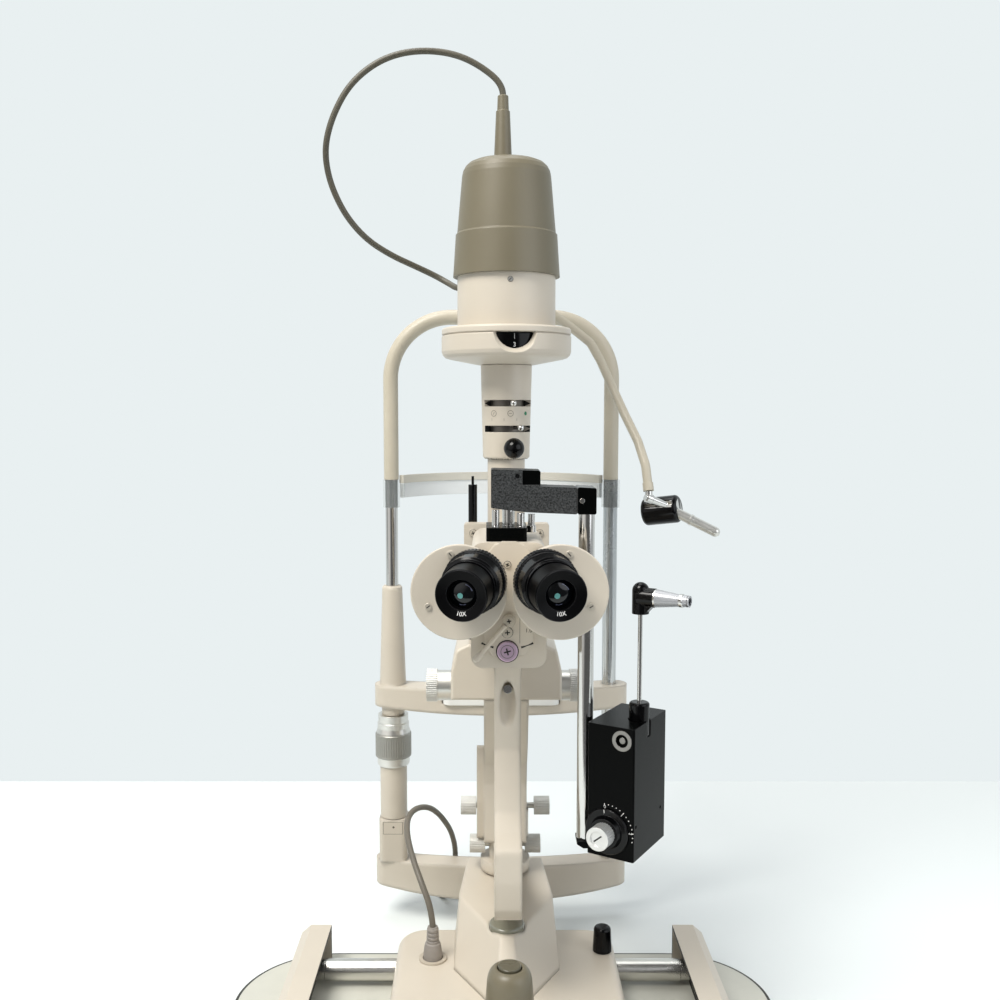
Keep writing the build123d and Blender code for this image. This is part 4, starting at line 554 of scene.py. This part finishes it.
SCALE_R = 46.5
SCALE_STEP = 26
SCALE_Z = 549.3
TICK_Z = 556
HEAD_TURN = 7
SCALE_WORDS = {0: "3", 1: "2", 2: "1", -1: "5", -2: "8"}
scale_items = []
for turn, word in SCALE_WORDS.items():
    angle = HEAD_TURN + turn * SCALE_STEP
    scale_items.append((text_shape(word, 5.0), on_cylinder(0, TOWER_Y, SCALE_R, angle, SCALE_Z)))
    scale_items.append((bar_shape(0.3, 4.4, steps=1), on_cylinder(0, TOWER_Y, SCALE_R, angle, TICK_Z)))
marks("scale_numbers", "scale_drum", INK_WHITE, scale_items)

NECK_MARK_R = 20.42
NECK_RING_Z = 495.2
NECK_TICK_Z = 490.2
SYMBOL_TURNS = ((-31, 60), (9, 0))
NECK_TICK_TURNS = (-36, -6, 24)
DOT_TURN = 50


def on_neck(degrees, z=NECK_RING_Z):
    """On the tower neck's round face."""
    return on_cylinder(0, TOWER_Y, NECK_MARK_R, degrees, z)


neck_items = [(ring_shape(2.1, 2.6), on_neck(a)) for a, _ in SYMBOL_TURNS]
neck_items += [(bar_shape(2.4, 0.5, tilt), on_neck(a)) for a, tilt in SYMBOL_TURNS]
neck_items += [(bar_shape(0.35, 2.0, steps=1), on_neck(a, NECK_TICK_Z)) for a in NECK_TICK_TURNS]
marks("neck_marks", "lamp_arm", INK_GREY, neck_items)
marks("neck_dots", "lamp_arm", INK_GREEN, [(disc_shape(1.6), on_neck(DOT_TURN))])


def cross(place, size, width, turn):
    """A cross slot."""
    return [(bar_shape(size, width, a, steps=1), place) for a in (turn, turn + 90)]


YOKE_SCREW_X = 27.4
slots = []
for x, turn in ((-YOKE_SCREW_X, 20), (YOKE_SCREW_X, -15)):
    slots += cross(on_plane((x, YOKE_SCREW_Y - 1.2, YOKE_SCREW_Z)), 3.2, 0.7, turn)
    slots.append((ring_shape(2.9, 3.2), on_plane((x, YOKE_SCREW_Y, YOKE_SCREW_Z))))
marks("yoke_slots", "lamp_arm", INK_DARK, slots)
marks("lamp_screw_slot", "lamp_head", INK_DARK,
      [(ring_shape(1.8, 2.2), on_plane((CAP_SCREW[0], -80.55, CAP_SCREW[1]))),
       (bar_shape(2.6, 0.5, 40, steps=1), on_plane((CAP_SCREW[0], -80.9, CAP_SCREW[1])))])


# Microscope: screws, panel seams, numbers and lenses

LOW_SCREW = (-1.1, 338)
TOP_SCREW = (-1.1, 387.3)
LEVER_PIVOT = (0, 347)
ARC_CENTRE = (-1.1, 367)
ARC_R = 41.2
ARC_TURNS = ((-117, -104), (-76, -63))
ARC_STEPS = 8


def arc_shape(cx, cz, radius, width, first, last):
    """A strip along an arc, thickest at its ends."""
    points = []
    for i in range(ARC_STEPS + 1):
        a = math.radians(first + (last - first) * i / ARC_STEPS)
        half = width * (0.35 + 0.65 * abs(2 * i / ARC_STEPS - 1)) / 2
        points += [(cx + (radius - half) * math.cos(a), cz + (radius - half) * math.sin(a)),
                   (cx + (radius + half) * math.cos(a), cz + (radius + half) * math.sin(a))]
    return points, [[2 * i, 2 * i + 1, 2 * i + 3, 2 * i + 2] for i in range(ARC_STEPS)]


def on_front(place, proud=0.0):
    """On the microscope's front face, or on the head of a screw that stands proud of it."""
    return on_plane((place[0], FRONT_Y - proud, place[1]))


# Each screw's place, its head's height, and the size, width and turn of its cross slot.
PANEL_SCREWS = ((HUB_SCREW, 2, 5.2, 1.1, 15), (LOW_SCREW, 1, 3.6, 0.9, 5), (LEVER_PIVOT, 4.6, 3.2, 0.9, 10),
                (TOP_SCREW, 1, 2.8, 0.8, -20))
PANEL_RINGS = ((HUB_SCREW, 7.5, 8.3), (LOW_SCREW, 3.8, 4.2), (TOP_SCREW, 2.4, 2.8))
front_marks = []
for screw, head, size, width, turn in PANEL_SCREWS:
    front_marks += cross(on_front(screw, head), size, width, turn)
for screw, inner, outer in PANEL_RINGS:
    front_marks.append((ring_shape(inner, outer), on_front(screw)))
for turns in ARC_TURNS:
    front_marks.append((arc_shape(*ARC_CENTRE, ARC_R, 1.6, *turns), on_front((0, 0))))
marks("panel_screws", "microscope", INK_DARK, front_marks)
marks("panel_seam", "microscope", LINE, [(bar_shape(0.35, 22, steps=1), on_front((7.9, 341)))])
marks("panel_number", "microscope", INK_DARK, [(text_shape("1.0", 4.2), on_front((14.3, 339.3)))])
marks("hub_ring", "microscope", LINE, [(ring_shape(4.5, 4.9), on_front(HUB_SCREW, 2))])

RIM_TEXT_R = 12.4
RIM_LOW = 45.2
RIM_SLOPE = 0.358
RIM_INNER = 10.2
RIM_LIFT = 0.2


def on_rim(side):
    """On the sloped front ring of an eyepiece, reading upright at its lowest place."""
    start, aim, right, up = eye_axes(side)

    def place(u, v):
        r = RIM_TEXT_R - v
        a = u / RIM_TEXT_R
        radial = right * math.sin(a) - up * math.cos(a)
        height = RIM_LOW + RIM_SLOPE * (r - RIM_INNER) + RIM_LIFT
        return at(*(start + radial * r + aim * height))
    return place


LENS_OUTLINE = [(0.01, 42.4), (3, 42.2), (6, 41.6), (8.6, 40.5), (9.4, 39.9), (9.4, 39.55)]
LENS_TOP = 42.55
LENS_R = 22
OBJECTIVE_OUTLINE = [(0.01, -79.2), (8, -79.6), (15, -80.6), (18.9, -81.6), (18.9, -83)]
DISC_SLOT_Y = -206.3
# A slot's distance outwards from the housing's middle, its height, and its turn.
DISC_SLOTS = ((21, 363, 35), (5.64, 399.2, -50))


def on_lens(side):
    """On the domed eye lens."""
    start, aim, right, up = eye_axes(side)

    def place(u, v):
        height = LENS_TOP - (u * u + v * v) / (2 * LENS_R)
        return at(*(start + right * u + up * v + aim * height))
    return place


for name, side in (("left", -1), ("right", 1)):
    start, aim, right, up = eye_axes(side)
    marks(f"rim_number_{name}", f"ocular_{name}", INK_WHITE, [(text_shape("10X", 3.9), on_rim(side))])
    lathe(f"eye_lens_{name}", LENS_OUTLINE, start, aim, f"ocular_{name}", LENS)
    # Each eye lens has a painted teal pupil glint and two arcs of painted glint.
    marks(f"lens_pupil_glint_{name}", f"ocular_{name}", PUPIL_GLINT, [(disc_shape(1.9, 20, -1.6, -1.2), on_lens(side))])
    marks(f"lens_glint_{name}", f"ocular_{name}", GLINT,
          [(arc_shape(0, 0, 6.6, 0.9, 20, 75), on_lens(side)),
           (arc_shape(-0.5, -0.5, 6.9, 0.8, -105, -70), on_lens(side))])
    marks(f"disc_slots_{name}", f"eye_{name}", INK_DARK,
          [(bar_shape(2.9, 0.7, turn, steps=1), on_plane((side * (HOUSE_X + out), DISC_SLOT_Y, z)))
           for out, z, turn in DISC_SLOTS])
lathe("objective_lens", OBJECTIVE_OUTLINE, (0, 0, OBJECTIVE_Z), (0, 1, 0), "microscope", LENS)


# Tonometer: dial and knob slot

def on_case(x, z, lift=LIFT, depth=0.0):
    """On the case's near face: x from its left edge and z from its underside, depth out of it."""
    origin = CASE_CORNER + Vector(TON_RIGHT) * x + Vector((0, 0, z)) + TON_OUT * depth
    return on_plane(origin, TON_RIGHT, (0, 0, 1), lift)


DRUM_X = 16.4
DRUM_Z = 19.7
DRUM_FACE = 2
KNOB_RECESS = 16.5
DIAL_DOT_R = 20.1
DIAL_TEXT_R = 18.3
DIAL_FIRST = -7
DIAL_STEP = 9.1
DIAL_DOTS = 13
DIAL_PER_NUMBER = 5


def round_dial(shape, degrees, radius):
    """A flat shape set at a place on a dial, upright at the top; the angle runs clockwise."""
    points, faces = shape
    a = math.radians(degrees)
    turned = [(u * math.cos(a) + (v + radius) * math.sin(a), (v + radius) * math.cos(a) - u * math.sin(a))
              for u, v in points]
    return turned, faces


on_case_dial = on_case(DRUM_X, DRUM_Z)
dial = []
for i in range(DIAL_DOTS):
    angle = DIAL_FIRST + i * DIAL_STEP
    if i % DIAL_PER_NUMBER:
        dial.append((round_dial(disc_shape(0.42, 10), angle, DIAL_DOT_R), on_case_dial))
    else:
        number = str(i // DIAL_PER_NUMBER)
        dial.append((round_dial(bar_shape(0.6, 1.3, steps=1), angle, DIAL_DOT_R + 0.1), on_case_dial))
        dial.append((round_dial(text_shape(number, 3.6), angle, DIAL_TEXT_R), on_case_dial))
marks("dial_numbers", "tonometer", INK_WHITE, dial)
on_drum = on_case(DRUM_X, DRUM_Z, depth=DRUM_FACE)
marks("drum_index", "tonometer_drum", INK_WHITE,
      [(round_dial(bar_shape(0.5, 2.6, steps=1), DIAL_FIRST, 15.4), on_drum)])
marks("knob_slot", "tonometer_drum", INK_DARK,
      [(bar_shape(8.0, 1.1, 40, steps=1), on_case(DRUM_X, DRUM_Z, depth=KNOB_RECESS))])


# Joystick grip, rounded at its top round the button, and the bare plate on the headrest's foot

STICK = (0, -222, 0)
GRIP_OUTLINE = [(3.5, 60), (17.5, 60), (18.6, 60.6), (19, 62), (16, 101), (15.7, 104.5), (15.1, 107.4),
                (14.1, 109.7), (12.7, 111.5), (11.2, 112.6), (9.8, 113), (8.9, 112.7), (8.5, 112),
                (8.5, 104), (3.5, 104), (3.5, 60)]
grip = lathe("joystick_grip_skin", GRIP_OUTLINE, STICK, (0, 0, 1), "stick_grip", OLIVE)
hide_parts("joystick_grip")

PLATE_HALF_W = 9.3
PLATE_HALF_H = 6
PLATE_LINE = 0.35
on_foot = on_plane((-POST_X - SIDE, 66.5, 94.3))
plate_shapes = [bar_shape(2 * PLATE_HALF_W, PLATE_LINE, cy=edge * PLATE_HALF_H, steps=1)
                for edge in (-1, 1)]
plate_shapes += [bar_shape(2 * PLATE_HALF_H, PLATE_LINE, 90, cx=edge * PLATE_HALF_W, steps=1)
                 for edge in (-1, 1)]
plate_shapes.append(disc_shape(1.1, 12, 0.6, 0.8))
marks("foot_plate", "root", LINE, [(shape, on_foot) for shape in plate_shapes])


# Cords. The points are the routes of the part's source, and the coil's turns go on from them.

CABLE_R = 2.6
LAMP_ROUTE = [(-3, -40, 753), (-3, -40, 762), (-22, -40, 777), (-42, -40, 786), (-66.5, -40, 789),
              (-90, -40, 786), (-110, -40, 777), (-128.5, -39, 761.5), (-141.5, -37, 740),
              (-149, -34, 718), (-149.5, -29, 700), (-145, -23, 681), (-134.5, -16, 660),
              (-118.5, -8, 642.5), (-98.5, 1, 630.8), (-80, 6, 623), (-62, 9, 615), (-50, 6, 608),
              (-41, -5.6, 601.5), (-34.1, -11.4, 601.5)]
POWER_ROUTE = [(-61, -84, 72), (-62, -83, 86), (-72, -71, 106), (-81, -50, 119), (-86.5, -28, 128.5),
               (-87.5, -8, 133.5), (-83.5, 7, 135.5), (-77, 19, 134), (-69.5, 32, 128.3),
               (-62.8, 46, 117.5), (-57, 58, 105), (-51, 73, 88), (-47.5, 88, 64), (-49, 96, 40),
               (-53, 103, 20), (-61, 114, 2.7), (-69.5, 129, 2.7), (-72, 140, 2.7)]
COIL_X, COIL_Y = -42, 146
COIL_TURNS = ((30.0, 2.7), (24.9, 2.7), (24.9, 7.9), (30.0, 7.9), (30.0, 13.1), (24.9, 13.1))
COIL_STEPS = 14
PASS_OVER_FROM = 0.72
CONNECTOR_END = (0, COIL_Y + 10, 6.2)


def coil_points():
    """Turns that lie beside and on each other, clockwise seen from above."""
    points = []
    total = len(COIL_TURNS) * COIL_STEPS
    for i in range(1, total - 2):
        turn, share = divmod(i / COIL_STEPS, 1)
        r, z = COIL_TURNS[int(turn)]
        next_r, next_z = COIL_TURNS[min(int(turn) + 1, len(COIL_TURNS) - 1)]
        pass_over = max(0.0, (share - PASS_OVER_FROM) / (1 - PASS_OVER_FROM))
        r += (next_r - r) * pass_over
        z += (next_z - z) * pass_over
        a = math.pi - share * 2 * math.pi
        points.append((COIL_X + r * math.cos(a), COIL_Y + r * math.sin(a), z))
    return points


def cord_line(name, route, finish, body):
    data = bpy.data.curves.new(name, "CURVE")
    data.dimensions = "3D"
    data.bevel_depth = CABLE_R * MM
    data.bevel_resolution = 5
    data.resolution_u = 10
    data.use_fill_caps = True
    spline = data.splines.new("NURBS")
    spline.points.add(len(route) - 1)
    for point, place in zip(spline.points, route):
        point.co = (*at(*place), 1)
    spline.order_u = 3
    spline.use_endpoint_u = True
    data.materials.append(finish)
    obj = bpy.data.objects.new(name, data)
    bpy.context.scene.collection.objects.link(obj)
    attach(obj, body)
    return obj


lamp_cord = cord_line("lamp_cord", LAMP_ROUTE, CABLE, "lamp_head")
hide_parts("lamp_cable")

POWER_TAIL = [(-36, COIL_Y + 29.7, 10), (-18, COIL_Y + 30, 8.5), (-5, COIL_Y + 28, 6.8),
              (0, COIL_Y + 20, 6.2), CONNECTOR_END]
power_cord = cord_line("power_cord", POWER_ROUTE + coil_points() + POWER_TAIL, CABLE_GREY, "base")
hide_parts("power_cable", "power_cable_coil")


# Floor and light

FLOOR_FAR = 456
FLOOR_NEAR = -760
FLOOR_HALF = 2600


def stage_surface():
    mat = bpy.data.materials.new("pale_bench")
    mat.use_nodes = True
    tree = mat.node_tree
    bsdf = tree.nodes["Principled BSDF"]
    bsdf.inputs["Base Color"].default_value = linear((236, 242, 242))
    bsdf.inputs["Roughness"].default_value = 0.55
    return mat


floor_mesh = bpy.data.meshes.new("bench_top")
corners = [(-FLOOR_HALF, FLOOR_NEAR), (FLOOR_HALF, FLOOR_NEAR), (FLOOR_HALF, FLOOR_FAR),
           (-FLOOR_HALF, FLOOR_FAR)]
floor_mesh.from_pydata([at(x, y, 0) for x, y in corners], [], [[0, 1, 2, 3]])
floor_mesh.materials.append(stage_surface())
floor = bpy.data.objects.new("bench_top", floor_mesh)
bpy.context.scene.collection.objects.link(floor)


def area_light(name, place, aim, size, watts, rgb=(255, 255, 255)):
    data = bpy.data.lights.new(name, "AREA")
    data.shape = "DISK"
    data.size = size
    data.energy = watts
    data.color = linear(rgb)[:3]
    lamp = bpy.data.objects.new(name, data)
    lamp.location = at(*place)
    lamp.rotation_euler = (at(*aim) - at(*place)).to_track_quat("-Z", "Y").to_euler()
    bpy.context.scene.collection.objects.link(lamp)


AIM = (0, -60, 380)
area_light("key", (-1000, -1100, 2300), AIM, 1.3, 68, (255, 252, 246))
area_light("fill", (1400, -1300, 1000), AIM, 1.8, 13, (246, 250, 255))
area_light("top", (-200, 300, 2200), AIM, 1.4, 12)

world = bpy.data.worlds.new("studio")
bpy.context.scene.world = world
world.use_nodes = True
tree = world.node_tree
background = tree.nodes["Background"]
path = add(tree, "ShaderNodeLightPath")
seen = add(tree, "ShaderNodeMath", operation="MAXIMUM")
tree.links.new(path.outputs["Is Camera Ray"], seen.inputs[0])
tree.links.new(path.outputs["Is Transmission Ray"], seen.inputs[1])
# Metal and gloss see the pale backdrop behind the object, two soft panels and a dim room between them.
WORLD_LIGHT = (0.34, 0.35, 0.36, 1.0)
BACKDROP = linear((233, 240, 241))
ROOM = (0.13, 0.13, 0.13, 1.0)
PANEL_WARM = (1.0, 0.99, 0.97, 1.0)
PANEL_COOL = (0.72, 0.75, 0.78, 1.0)
direction = add(tree, "ShaderNodeTexCoord")


def lobe(towards, narrow, wide):
    """1 in a direction of the room and 0 away from it, from two cosines."""
    dot = add(tree, "ShaderNodeVectorMath", operation="DOT_PRODUCT")
    tree.links.new(direction.outputs["Generated"], dot.inputs[0])
    dot.inputs[1].default_value = Vector(towards).normalized()
    return ranged(tree, dot.outputs["Value"], wide, narrow, 0, 1)


room = mixed(tree, lobe((-0.75, -0.62, 0.35), 0.93, 0.70), ROOM, PANEL_WARM)
room = mixed(tree, lobe((0.90, -0.30, 0.30), 0.96, 0.80), room, PANEL_COOL)
room = mixed(tree, lobe((0, 1, 0), 0.25, -0.15), room, BACKDROP)
lit = mixed(tree, path.outputs["Is Glossy Ray"], WORLD_LIGHT, room)
tree.links.new(mixed(tree, seen.outputs[0], lit, BACKDROP), background.inputs["Color"])
background.inputs["Strength"].default_value = 1.0

bpy.context.scene.view_settings.view_transform = "Standard"
